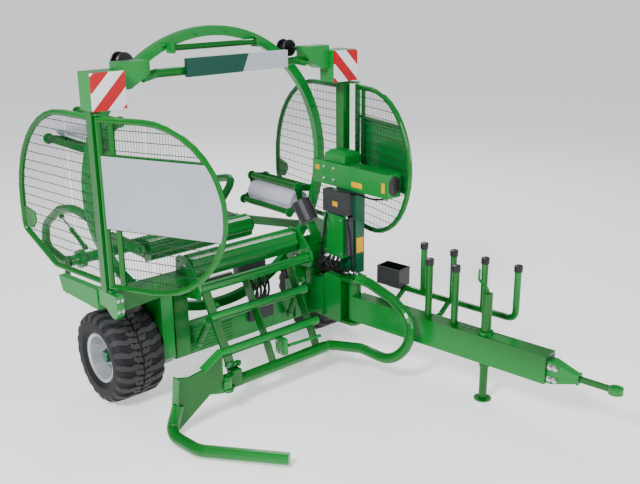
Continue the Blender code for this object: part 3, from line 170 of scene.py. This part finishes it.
BAND = 0.137  # height of one red or white band, straight up
BAND_SHIFT = 0.0765
SIGN_EDGE = 0.07  # how far left of the sign's middle its two colours meet
SIGN_SLANT = 0.45


def striped_board(centre):
    """Red and white diagonal bands that lean opposite ways on the two boards."""
    made = surface("striped_board", (0.74, 0.75, 0.78), 0.36, mottle=0.03)
    _, y, z = coordinates(made)
    along = arithmetic(made, "ADD", arithmetic(made, "ABSOLUTE", y, 0), z)
    shifted = arithmetic(made, "SUBTRACT", along, abs(centre.y) + centre.z + BAND_SHIFT)
    wave = arithmetic(made, "PINGPONG", shifted, BAND)
    two_tone(made, arithmetic(made, "GREATER_THAN", wave, BAND / 2), (0.45, 0.0, 0.006))
    return made


def split_sign(edge, slant, height):
    """A sign that is deep green on the right of the machine and silver beyond a slanted edge."""
    made = surface("split_sign", (0.42, 0.45, 0.50), 0.34, metallic=0.2, mottle=0.06)
    _, y, z = coordinates(made)
    rise = arithmetic(made, "MULTIPLY", arithmetic(made, "SUBTRACT", z, height), slant)
    line = arithmetic(made, "ADD", rise, edge)
    two_tone(made, arithmetic(made, "LESS_THAN", y, line), (0.003, 0.060, 0.040))
    return made


STRIPES = striped_board(middle("warning_board_right"))
SIGN = split_sign(middle("sign_box").y + SIGN_EDGE, SIGN_SLANT, middle("sign_box").z)

PAINTS = (
    ("tyre_", RUBBER),
    ("rim_", RIM),
    ("ring_roller", BLACK),
    ("film_roll", FILM),
    ("warning_board", STRIPES),
    ("side_roller", BLACK),
    ("oil_filter", BLACK),
    ("valve_block", BLACK),
    ("toolbox", BLACK),
    ("sign_box", SIGN),
    ("pack_column", DEEP),
    ("guard_front_right_sheet", SHEET),
)
for node, obj in NODES.items():
    paint = next((paint for start, paint in PAINTS if node.startswith(start)), GREEN)
    obj.data.materials.clear()
    obj.data.materials.append(paint)


# ================================================================ shapes
SHARP_ANGLE = math.radians(35)


def finish_piece(mesh_data, name, paint, rides, replaced=()):
    """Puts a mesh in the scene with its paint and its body."""
    obj = bpy.data.objects.new(name, mesh_data)
    bpy.context.scene.collection.objects.link(obj)
    mesh_data.materials.append(paint)
    mesh_data.shade_smooth()
    mesh_data.set_sharp_from_angle(angle=SHARP_ANGLE)
    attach(obj, rides)
    if replaced:
        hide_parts(*replaced)
    return obj


def across(direction):
    """Two directions at right angles to this one and to each other."""
    along = direction.normalized()
    up = Vector((0, 0, 1)) if abs(along.z) < 0.95 else Vector((1, 0, 0))
    side = along.cross(up).normalized()
    return side, side.cross(along).normalized()


def add_tube(bm, path, radius, sides=8):
    """A capped round tube along a path."""
    rings = []
    side, rise = across(path[1] - path[0])
    for i, point in enumerate(path):
        ahead = path[min(i + 1, len(path) - 1)] - path[max(i - 1, 0)]
        along = ahead.normalized()
        side = (side - along * side.dot(along)).normalized()
        rise = side.cross(along)
        spots = []
        for k in range(sides):
            turn = 2 * math.pi * k / sides
            spots.append(bm.verts.new(point + (side * math.cos(turn) + rise * math.sin(turn)) * radius))
        rings.append(spots)
    for first, second in zip(rings, rings[1:]):
        for k in range(sides):
            m = (k + 1) % sides
            bm.faces.new((first[k], second[k], second[m], first[m]))
    bm.faces.new(rings[0])
    bm.faces.new(rings[-1][::-1])


def joined(name, paint, rides, jobs, replaced=()):
    """One piece from a list of (shape, its values)."""
    bm = bmesh.new()
    for shape, *values in jobs:
        shape(bm, *values)
    bmesh.ops.recalc_face_normals(bm, faces=bm.faces)
    data = bpy.data.meshes.new(name)
    bm.to_mesh(data)
    bm.free()
    return finish_piece(data, name, paint, rides, replaced)


# ================================================================ mesh guards
UPRIGHT_PITCH = 0.028
LEVEL_PITCH = 0.085
UPRIGHT_RADIUS = 0.0019
LEVEL_RADIUS = 0.0036


def hull(points):
    """The convex outline of flat points, anticlockwise."""
    points = sorted(set((round(a, 4), round(b, 4)) for a, b in points))
    halves = []
    for row in (points, points[::-1]):
        half = []
        for p in row:
            while len(half) > 1:
                (ax, ay), (bx, by) = half[-2], half[-1]
                if (bx - ax) * (p[1] - ay) - (by - ay) * (p[0] - ax) > 0:
                    break
                half.pop()
            half.append(p)
        halves.append(half[:-1])
    return halves[0] + halves[1]


def crossings(outline, axis, at):
    """Where the line coordinate[axis] = at cuts an outline, on the other coordinate."""
    found = []
    for p, q in zip(outline, outline[1:] + outline[:1]):
        if (p[axis] - at) * (q[axis] - at) < 0:
            t = (at - p[axis]) / (q[axis] - p[axis])
            found.append(p[1 - axis] + (q[1 - axis] - p[1 - axis]) * t)
    return (min(found), max(found)) if len(found) > 1 else None


def guard_wires(name):
    """The welded wires of one guard, upright and level, inside its panel's outline."""
    node = f"guard_{name}_mesh"
    body = f"guard_{name}"
    spots = [v.co.copy() for v in NODES[node].data.vertices]
    low, high = box(node)
    hinge = middle(f"post_{name.split('_')[1]}")
    far = max(spots, key=lambda p: (p.xy - hinge.xy).length)
    near = min(spots, key=lambda p: (p.xy - hinge.xy).length)
    way = Vector((far.x - near.x, far.y - near.y, 0)).normalized()
    base = Vector((near.x, near.y, 0))
    outline = hull([((p - base).dot(way), p.z) for p in spots])
    uprights, levels = [], []
    reach = max(s for s, _ in outline)
    for i in range(1, int(reach / UPRIGHT_PITCH) + 1):
        span = crossings(outline, 0, i * UPRIGHT_PITCH)
        if span:
            uprights.append([base + way * i * UPRIGHT_PITCH + Vector((0, 0, z)) for z in span])
    for i in range(1, int((high.z - low.z) / LEVEL_PITCH) + 1):
        z = low.z + i * LEVEL_PITCH
        span = crossings(outline, 1, z)
        if span:
            levels.append([base + way * s + Vector((0, 0, z)) for s in span])
    upright_jobs = [(add_tube, path, UPRIGHT_RADIUS, 5) for path in uprights]
    joined(f"{name}_uprights", WIRE, body, upright_jobs, (node,))
    joined(f"{name}_levels", WIRE, body, [(add_tube, path, LEVEL_RADIUS, 6) for path in levels])


for guard in ("front_right", "rear_right", "front_left", "rear_left"):
    guard_wires(guard)


# ================================================================ tyres
TREAD_LUGS = 22
SHORT_LUG = 0.42  # share of the half width that a middle lug spans
# a lug's cross-section: height from the tread's top, share of its row's width
LUG_SECTION = ((-0.028, 1.15), (0.0, 0.9))
TYRE_SIDES = 96
# the carcass from bead to crown: radius below the tread's top, share of the half width
CARCASS = (
    (0.1925, 0.84),
    (0.150, 0.955),
    (0.145, 0.975),
    (0.139, 0.972),
    (0.085, 0.995),
    (0.055, 0.965),
    (0.034, 0.90),
    (0.0185, 0.78),
    (0.0180, 0.40),
)
# each row of a lug: share of the half width, drop below the crown, width round the tyre, turn
LUG_ROWS = (
    (0.05, 0.0, 0.040, 0.000),
    (0.30, 0.0, 0.052, 0.045),
    (0.52, 0.0, 0.048, 0.020),
    (0.78, 0.003, 0.060, 0.085),
    (0.93, 0.026, 0.056, 0.100),
    (0.985, 0.058, 0.048, 0.105),
)


def add_lug(bm, centre, radius, half, start, hand):
    """One tread block that wanders from the tyre's middle out over its shoulder."""
    rows = []
    for share, drop, wide, turn in LUG_ROWS:
        corners = []
        for lift, spread in LUG_SECTION:
            r = radius - drop + lift
            for edge in (-1, 1):
                t = start + turn + edge * wide * spread / 2 / radius
                spot = centre + Vector((r * math.cos(t), hand * half * share, r * math.sin(t)))
                corners.append(bm.verts.new(spot))
        rows.append(corners)
    for a, b in zip(rows, rows[1:]):
        bm.faces.new((a[2], a[3], b[3], b[2]))
        bm.faces.new((a[0], a[2], b[2], b[0]))
        bm.faces.new((a[3], a[1], b[1], b[3]))
        bm.faces.new((a[1], a[0], b[0], b[1]))
    for row in (rows[0], rows[-1]):
        bm.faces.new((row[0], row[1], row[3], row[2]))


def add_carcass(bm, centre, radius, half):
    """The turned body of a tyre, closed inside by the rim's own width."""
    right = [(radius - drop, half * share) for drop, share in CARCASS]
    profile = right + [(r, -reach) for r, reach in reversed(right)]
    rows = []
    for k in range(TYRE_SIDES):
        t = 2 * math.pi * k / TYRE_SIDES
        spots = [centre + Vector((r * math.cos(t), reach, r * math.sin(t))) for r, reach in profile]
        rows.append([bm.verts.new(spot) for spot in spots])
    count = len(profile)
    for a, b in zip(rows, rows[1:] + rows[:1]):
        for k in range(count):
            m = (k + 1) % count
            bm.faces.new((a[k], b[k], b[m], a[m]))


def make_tyre(side):
    """A tyre with long lugs over both shoulders and short ones between them."""
    low, high = box(f"tyre_{side}")
    centre = (low + high) / 2
    radius, half = (high.z - low.z) / 2, (high.y - low.y) / 2
    pitch = 2 * math.pi / TREAD_LUGS
    jobs = [(add_carcass, centre, radius, half)]
    for k in range(TREAD_LUGS):
        for hand in (-1, 1):
            start = pitch * (k + (0.5 if hand > 0 else 0))
            jobs.append((add_lug, centre, radius, half, start, hand))
            jobs.append((add_lug, centre, radius, half * SHORT_LUG, start + pitch / 2, hand))
    joined(f"treaded_tyre_{side}", RUBBER, f"wheel_{side}", jobs, (f"tyre_{side}",))


make_tyre("right")
make_tyre("left")

# ================================================================ fittings
# Places below are in metres from the middle of the wheel axis, on the ground.
AXLE_X = middle("tyre_right").x
ORIGIN = Vector((AXLE_X, (middle("tyre_right").y + middle("tyre_left").y) / 2, 0))
UP, AHEAD, RIGHT = Vector((0, 0, 1)), Vector((1, 0, 0)), Vector((0, -1, 0))
SWING = math.radians(6.5)
PIN_X, PIN_Y = 0.82, 1.005


def at(x, y, z):
    """A place in the fittings' own frame."""
    return ORIGIN + Vector((x, y, z))


def on_drawbar(s, offset, z):
    """A point s along the drawbar from its pin, and offset to its left."""
    return at(
        PIN_X + s * math.cos(SWING) - offset * math.sin(SWING),
        PIN_Y + s * math.sin(SWING) + offset * math.cos(SWING),
        z,
    )


DRAWBAR_WAY = Vector((math.cos(SWING), math.sin(SWING), 0))
DRAWBAR_RIGHT = Vector((math.sin(SWING), -math.cos(SWING), 0))


def lathe(bm, profile, centre, axis, sides=16):
    """Turns (radius, along) points round an axis and closes both ends."""
    along = axis.normalized()
    side, rise = across(along)
    rows = []
    for radius, reach in profile:
        turns = [2 * math.pi * k / sides for k in range(sides)]
        ways = [side * math.cos(t) + rise * math.sin(t) for t in turns]
        rows.append([bm.verts.new(centre + along * reach + way * radius) for way in ways])
    for a, b in zip(rows, rows[1:]):
        for k in range(sides):
            m = (k + 1) % sides
            bm.faces.new((a[k], b[k], b[m], a[m]))
    bm.faces.new(rows[0])
    bm.faces.new(rows[-1][::-1])


def plate(bm, centre, normal, up, width, height, thick, corner=0.0):
    """A flat plate with cut corners, standing on a face with this normal."""
    normal = normal.normalized()
    up = (up - normal * up.dot(normal)).normalized()
    side = up.cross(normal)
    a, b = width / 2, height / 2
    c = corner or min(a, b) * 0.12
    right_half = ((a - c, -b), (a, -b + c), (a, b - c), (a - c, b))
    outline = ((c - a, -b), *right_half, (c - a, b), (-a, b - c), (-a, c - b))
    rows = []
    for lift, shrink in ((0, 1), (thick * 0.7, 1), (thick, 0.985)):
        spots = [centre + side * u * shrink + up * v * shrink + normal * lift for u, v in outline]
        rows.append([bm.verts.new(spot) for spot in spots])
    for first, second in zip(rows, rows[1:]):
        for k in range(8):
            m = (k + 1) % 8
            bm.faces.new((first[k], second[k], second[m], first[m]))
    bm.faces.new(rows[0])
    bm.faces.new(rows[-1][::-1])


def curve(spots, steps=6):
    """A smooth line through given points."""
    spots = [Vector(p) for p in spots]
    spots = [spots[0] * 2 - spots[1], *spots, spots[-1] * 2 - spots[-2]]
    path = []
    for a, b, c, d in zip(spots, spots[1:], spots[2:], spots[3:]):
        square = a * 2 - b * 5 + c * 4 - d
        cube = b * 3 - a - c * 3 + d
        for i in range(steps):
            t = i / steps
            path.append((b * 2 + (c - a) * t + square * t**2 + cube * t**3) / 2)
    return [*path, spots[-2]]


BOLT = ((0.017, 0), (0.017, 0.003), (0.012, 0.0032), (0.012, 0.010), (0.010, 0.012))
BIG_BOLT = tuple((radius * 1.7, reach * 1.7) for radius, reach in BOLT)


def bolts(name, rides, spots, profile=BOLT, paint=STEEL):
    """Hexagon heads on washers at (place, direction)."""
    joined(name, paint, rides, [(lathe, profile, place, way, 6) for place, way in spots])


# ---------------------------------------------------------------- caps, labels and painted slot shade
PEG_TOP = 1.22
PEG_CAP = ((0.039, -0.052), (0.040, -0.050), (0.040, 0.0), (0.036, 0.007), (0.024, 0.011))
drawbar_pegs = [on_drawbar(s, 0, PEG_TOP) for s in (0.90, 1.19)]
rack_pegs = [on_drawbar(1.62 - 0.345 * i, 0.36, PEG_TOP) for i in range(4)]
joined("peg_caps", BLACK, "drawbar", [(lathe, PEG_CAP, p, UP, 24) for p in drawbar_pegs + rack_pegs])

LABELS = (  # centre, direction, width, height
    (at(0.78, 1.0595, 1.765), RIGHT, 0.15, 0.055),
    (at(1.14, 1.0595, 1.80), RIGHT, 0.045, 0.10),
    (at(0.20, 1.0595, 1.86), RIGHT, 0.06, 0.05),
    (at(0.7605, 1.13, 1.13), AHEAD, 0.095, 0.16),
    (at(0.56, 0.9695, 1.55), RIGHT, 0.075, 0.05),
)
joined("labels", YELLOW, "chassis", [(plate, p, way, UP, w, h, 0.0012) for p, way, w, h in LABELS])

# painted shade: thin black plates lie where the drawbar's slots are, in place of their dark holes
SLOT_STEPS = (1.30, 1.36, 1.42)
slot_shade_jobs = [(plate, on_drawbar(s, 0.02, 0.6503), UP, DRAWBAR_WAY, 0.07, 0.022, 0.0015) for s in SLOT_STEPS]
slot_shade_jobs.append((plate, on_drawbar(2.1705, 0, 0.56), DRAWBAR_WAY, UP, 0.14, 0.13, 0.002))
joined("drawbar_slot_shades", BLACK, "drawbar", slot_shade_jobs)

BEAM_END = (plate, at(1.2003, 1.15, 1.8175), AHEAD, UP, 0.145, 0.19, 0.003, 0.045)
joined("beam_end", BLACK, "chassis", [BEAM_END])


def tray(bm, corners, low, high, wall):
    """An open box: its outside, its rim and its inside."""
    middle_spot = sum(corners, Vector()) / len(corners)
    inner = [p + (middle_spot - p).normalized() * wall * 1.4 for p in corners]
    rows = []
    for outline, z in ((corners, low), (corners, high), (inner, high), (inner, low + wall)):
        rows.append([bm.verts.new((p.x, p.y, z)) for p in outline])
    for a, b in zip(rows, rows[1:]):
        for k in range(4):
            m = (k + 1) % 4
            bm.faces.new((a[k], a[m], b[m], b[k]))
    bm.faces.new(rows[0][::-1])
    bm.faces.new(rows[-1])


TRAY_CORNERS = [on_drawbar(s, w, 0) for s, w in ((0.10, 0.23), (0.38, 0.23), (0.38, 0.41), (0.10, 0.41))]
low, high = box("toolbox")
TRAY_WALL = 0.008
TRAY_BEAD = 0.006
tray_job = (tray, TRAY_CORNERS, low.z, high.z, TRAY_WALL)
bead_path = [Vector((p.x, p.y, high.z - TRAY_BEAD)) for p in (*TRAY_CORNERS, TRAY_CORNERS[0])]
joined("tool_tray", BLACK, "drawbar", [tray_job, (add_tube, bead_path, TRAY_BEAD, 6)], ("toolbox",))

# ---------------------------------------------------------------- bolts
hitch = [
    (on_drawbar(2.20 + 0.05 * i, -0.061, 0.50 + dz), DRAWBAR_RIGHT) for i in (0, 1) for dz in (-0.055, 0.055)
]
bolts("hitch_bolts", "drawbar", hitch, BIG_BOLT)
bolts("pack_bolts", "chassis", [(at(x, 0.9847, z), RIGHT) for x in (0.40, 0.63) for z in (1.03, 1.39)])
bolts("beam_bolts", "chassis", [(at(x, 1.0597, z), RIGHT) for x in (0.30, 0.44) for z in (1.76, 1.88)])
bolts(
    "head_bolts",
    "chassis",
    [(at(0.3472, side * y, z), AHEAD) for side in (-1, 1) for y in (1.20, 1.42) for z in (2.745, 3.005)],
)
shoulder = [(at(0.4302, -1.40 + dy, z), AHEAD) for dy in (-0.025, 0.015) for z in (1.01, 1.11)]
bolts("shoulder_bolts", "chassis", shoulder)
for side, name in SIDES[::-1]:
    bulkhead = [(x, side * 0.6802, z) for x, z in ((0.20, 1.10), (0.34, 1.10), (0.34, 1.24), (0.20, 1.24))]
    bolts(f"bearing_bolts_{name}", "chassis", [(at(*spot), RIGHT * -side) for spot in bulkhead])

RING_HEIGHT = 1.92
RING_FACE = -0.0648
BOLT_CIRCLE = 1.345
RING_BOLTS = 24
ring_bolts = []
for i in range(RING_BOLTS):
    turn = 2 * math.pi * (i + 0.5) / RING_BOLTS
    y, z = BOLT_CIRCLE * math.cos(turn), BOLT_CIRCLE * math.sin(turn)
    ring_bolts.append((at(RING_FACE, y, RING_HEIGHT + z), AHEAD))
bolts("ring_bolts", "wrapping_ring_assembly", ring_bolts, paint=GREEN)

# ---------------------------------------------------------------- wheels
HUB = ((0.075, 0), (0.075, 0.012), (0.062, 0.02), (0.058, 0.055), (0.050, 0.066), (0.0, 0.068))
LUG_NUT = ((0.016, 0), (0.016, 0.004), (0.0125, 0.005), (0.0125, 0.018), (0.010, 0.021))
NUTS = 6
NUT_CIRCLE = 0.098
HUB_REACH = 0.106  # from the rim's middle out to where the hub cap starts
NUT_REACH = 0.088
for side, name in SIDES:
    outward = Vector((0, side, 0))
    centre = middle(f"rim_{name}")
    nuts = []
    for k in range(NUTS):
        turn = 2 * math.pi * k / NUTS
        spot = centre + Vector((math.cos(turn), 0, math.sin(turn))) * NUT_CIRCLE + outward * NUT_REACH
        nuts.append((lathe, LUG_NUT, spot, outward, 6))
    joined(f"lug_nuts_{name}", STEEL, f"wheel_{name}", nuts)
    hub = (lathe, HUB, centre + outward * HUB_REACH, outward, 28)
    joined(f"hub_cap_{name}", DEEP, f"wheel_{name}", [hub])

# ---------------------------------------------------------------- hoses
HOSE_ROUTES = (  # radius, points from one fitting to the other
    (0.011, ((0.42, 1.00, 1.47), (0.43, 0.95, 1.30), (0.42, 0.93, 1.05),
             (0.47, 0.93, 0.90), (0.60, 0.95, 0.86), (0.72, 0.98, 0.86))),
    (0.011, ((0.50, 0.99, 0.99), (0.50, 0.96, 0.93), (0.56, 0.93, 0.87),
             (0.68, 0.93, 0.86), (0.76, 0.96, 0.87))),
    (0.010, ((0.56, 0.99, 0.99), (0.57, 0.95, 0.92), (0.63, 0.92, 0.88),
             (0.74, 0.93, 0.90), (0.83, 0.97, 0.88))),
    (0.010, ((0.62, 0.99, 0.99), (0.63, 0.95, 0.95), (0.69, 0.92, 0.90),
             (0.78, 0.95, 0.93), (0.86, 1.00, 0.87))),
    (0.012, ((0.46, 0.98, 1.00), (0.44, 0.90, 0.92), (0.40, 0.80, 0.88),
             (0.38, 0.72, 0.95), (0.37, 0.60, 1.02))),
    (0.012, ((0.44, 0.97, 1.00), (0.42, 0.88, 0.95), (0.39, 0.78, 0.92),
             (0.375, 0.70, 1.00), (0.37, 0.58, 1.06))),
    (0.009, ((0.70, 0.99, 1.46), (0.76, 0.98, 1.30), (0.78, 0.99, 1.10),
             (0.77, 1.01, 0.95), (0.72, 1.05, 0.86))),
    (0.010, ((0.50, 1.02, 1.68), (0.62, 1.03, 1.66), (0.80, 1.04, 1.685),
             (1.00, 1.05, 1.67), (1.17, 1.09, 1.69))),
)
hose_jobs = [(add_tube, curve([at(*p) for p in points]), radius, 10) for radius, points in HOSE_ROUTES]
joined("pack_hoses", HOSE, "chassis", hose_jobs)
FERRULE = ((0.016, 0), (0.017, 0.002), (0.017, 0.012), (0.013, 0.014), (0.013, 0.040), (0.011, 0.042))
ferrules = []
for _, points in HOSE_ROUTES:
    for first, second in (points[:2], points[:-3:-1]):
        way = Vector(second) - Vector(first)
        ferrules.append((lathe, FERRULE, at(*first), way, 12))
joined("hose_ferrules", STEEL, "chassis", ferrules)

BUNDLE_HOSES = 7
BUNDLE_PITCH = 0.033
bundle = []
for i in range(BUNDLE_HOSES):
    y = 0.06 + BUNDLE_PITCH * i
    sag = 0.03 * math.sin(2.1 * i)  # no two neighbours bend alike
    front = ((0.31, y + sag, 0.66), (0.36, y + sag, 0.76), (0.33, y - sag, 0.90))
    spots = ((0.22, y, 0.62), *front, (0.22, y, 0.97))
    bundle.append((add_tube, curve([at(*p) for p in spots]), 0.012, 10))
joined("chassis_hoses", HOSE, "chassis", bundle)
valve_jobs = [(plate, at(0.14, 0.16, 0.97), AHEAD, UP, 0.34, 0.12, 0.09)]
joined("chassis_valves", BLACK, "chassis", valve_jobs)
MOTOR_RADIUS = 0.045
motor_path = [at(0.20, -0.62, 0.95), at(0.20, -0.08, 0.95)]
joined("roller_motor_tube", BLACK, "chassis", [(add_tube, motor_path, MOTOR_RADIUS, 20)])

# ---------------------------------------------------------------- cross beam ribs and panels
RIBS = 8
RIB_PITCH = 0.034
ribs = [(plate, at(0.2701, -0.45, 0.35 + RIB_PITCH * i), AHEAD, UP, 0.62, 0.014, 0.006) for i in range(RIBS)]
joined("cross_beam_ribs", GREEN, "chassis", ribs)
joined("cross_beam_box", BLACK, "chassis", [(plate, at(0.2701, 0.20, 0.52), AHEAD, UP, 0.30, 0.14, 0.04)])

# ---------------------------------------------------------------- cylinders
# outlines as (radius, distance): from the foot, back from the gland, and across an eye
BARREL_FOOT = ((0.034, 0), (0.036, 0.004), (0.036, 0.03), (0.030, 0.034))
BARREL_GLAND = ((0.030, 0.042), (0.036, 0.0405), (0.036, 0.003), (0.032, 0.0))
RAM_EYE = ((0.03, -0.02), (0.034, -0.017), (0.034, 0.017), (0.03, 0.02))
ROD_RADIUS = 0.016


def cylinder(name, rides, foot, head, share, scale=1.0):
    """A lift cylinder: barrel, bright rod and an eye at each end."""
    way = head - foot
    length = way.length * share
    gland = foot + way.normalized() * length
    profile = [(r * scale, reach) for r, reach in BARREL_FOOT]
    profile += [(r * scale, length - back) for r, back in BARREL_GLAND]
    joined(f"{name}_barrel", GREEN, rides, [(lathe, profile, foot, way, 24)])
    joined(f"{name}_rod", STEEL, rides, [(add_tube, [gland, head], ROD_RADIUS * scale, 16)])
    side, _ = across(way)
    eye = [(r * scale, reach) for r, reach in RAM_EYE]
    joined(f"{name}_eyes", GREEN, rides, [(lathe, eye, spot, side, 20) for spot in (foot, head)])


cylinder("fork_ram", "loader", at(0.88, -0.52, 0.40), at(0.97, -0.70, 0.47), 0.62, 0.8)
cylinder("loader_ram_right", "chassis", at(0.33, -0.58, 0.42), at(0.56, -0.52, 0.86), 0.62)
cylinder("loader_ram_left", "chassis", at(0.33, 0.54, 0.42), at(0.56, 0.52, 0.86), 0.62)
for side, name in SIDES:
    foot, head = at(-1.20, side * 0.90, 1.09), at(-1.62, side * 0.93, 1.34)
    cylinder(f"tail_ram_{name}", "rear_table", foot, head, 0.6, 0.8)

# ---------------------------------------------------------------- bale guide adjuster
lever = [
    (plate, at(0.86, 0.03, 0.40), RIGHT, UP, 0.13, 0.16, 0.05),
    (add_tube, [at(0.90, 0.05, 0.40), at(0.90, 0.46, 0.38)], 0.016, 12),
]
joined("hoop_adjuster", GREEN, "loader", lever)
adjuster = [(at(x, -0.02, 0.40 + z), RIGHT) for x in (0.83, 0.89) for z in (-0.05, 0.05)]
bolts("adjuster_bolts", "loader", adjuster)

# ================================================================ floor, light and camera
FLOOR_SPAN = 220.0  # far enough to fill the view up to its top edge
FLOOR_GLOW = 0.6


def make_floor():
    """A plain pale floor, open on every side so that any view is clear."""
    corners = [(-1, -1), (1, -1), (1, 1), (-1, 1)]
    data = bpy.data.meshes.new("floor")
    data.from_pydata([(a * FLOOR_SPAN, b * FLOOR_SPAN, 0) for a, b in corners], [], [(0, 1, 2, 3)])
    paint = surface("studio_floor", (0.92, 0.92, 0.92), 0.8, mottle=0.01, bump=0.0)
    shader = paint.node_tree.nodes["Principled BSDF"]
    shader.inputs["Emission Color"].default_value = (1, 1, 1, 1)
    shader.inputs["Emission Strength"].default_value = FLOOR_GLOW
    data.materials.append(paint)
    made = bpy.data.objects.new("floor", data)
    bpy.context.scene.collection.objects.link(made)


def area_light(name, place, target, size, power):
    """A square soft light that faces its target."""
    data = bpy.data.lights.new(name, "AREA")
    data.size = size
    data.energy = power
    obj = bpy.data.objects.new(name, data)
    bpy.context.scene.collection.objects.link(obj)
    obj.location = place
    obj.rotation_euler = (Vector(target) - Vector(place)).to_track_quat("-Z", "Y").to_euler()


make_floor()
area_light("key", (3, -7, 8), (0, 0, 1), 2.0, 1100)
area_light("fill", (9, 3, 5), (0, 0, 1), 4.0, 350)
area_light("back", (-6, 6, 8), (0, 0, 1), 4.0, 500)
world = bpy.data.worlds.new("studio")
world.use_nodes = True
world.node_tree.nodes["Background"].inputs["Color"].default_value = (0.94, 0.97, 1.0, 1)
world.node_tree.nodes["Background"].inputs["Strength"].default_value = 0.42
bpy.context.scene.world = world

CAMERA_PLACE = (6.659, -4.627, 3.801)  # x from the wheel axis
HEADING, TILT, ROLL = math.radians(138.52), math.radians(-17.76), math.radians(-0.53)
SENSOR = 36.0
FOCAL_LENGTH = 48.043125
camera_data = bpy.data.cameras.new("camera")
camera_data.sensor_width = SENSOR
camera_data.lens = FOCAL_LENGTH
camera = bpy.data.objects.new("camera", camera_data)
bpy.context.scene.collection.objects.link(camera)
camera.location = Vector(CAMERA_PLACE) + Vector((AXLE_X, 0, 0))
look = Vector((math.cos(HEADING) * math.cos(TILT), math.sin(HEADING) * math.cos(TILT), math.sin(TILT)))
turned = look.to_track_quat("-Z", "Y").to_matrix().to_4x4()
turned.translation = camera.location
camera.matrix_world = turned
camera.rotation_euler.rotate_axis("Z", ROLL)
bpy.context.scene.camera = camera
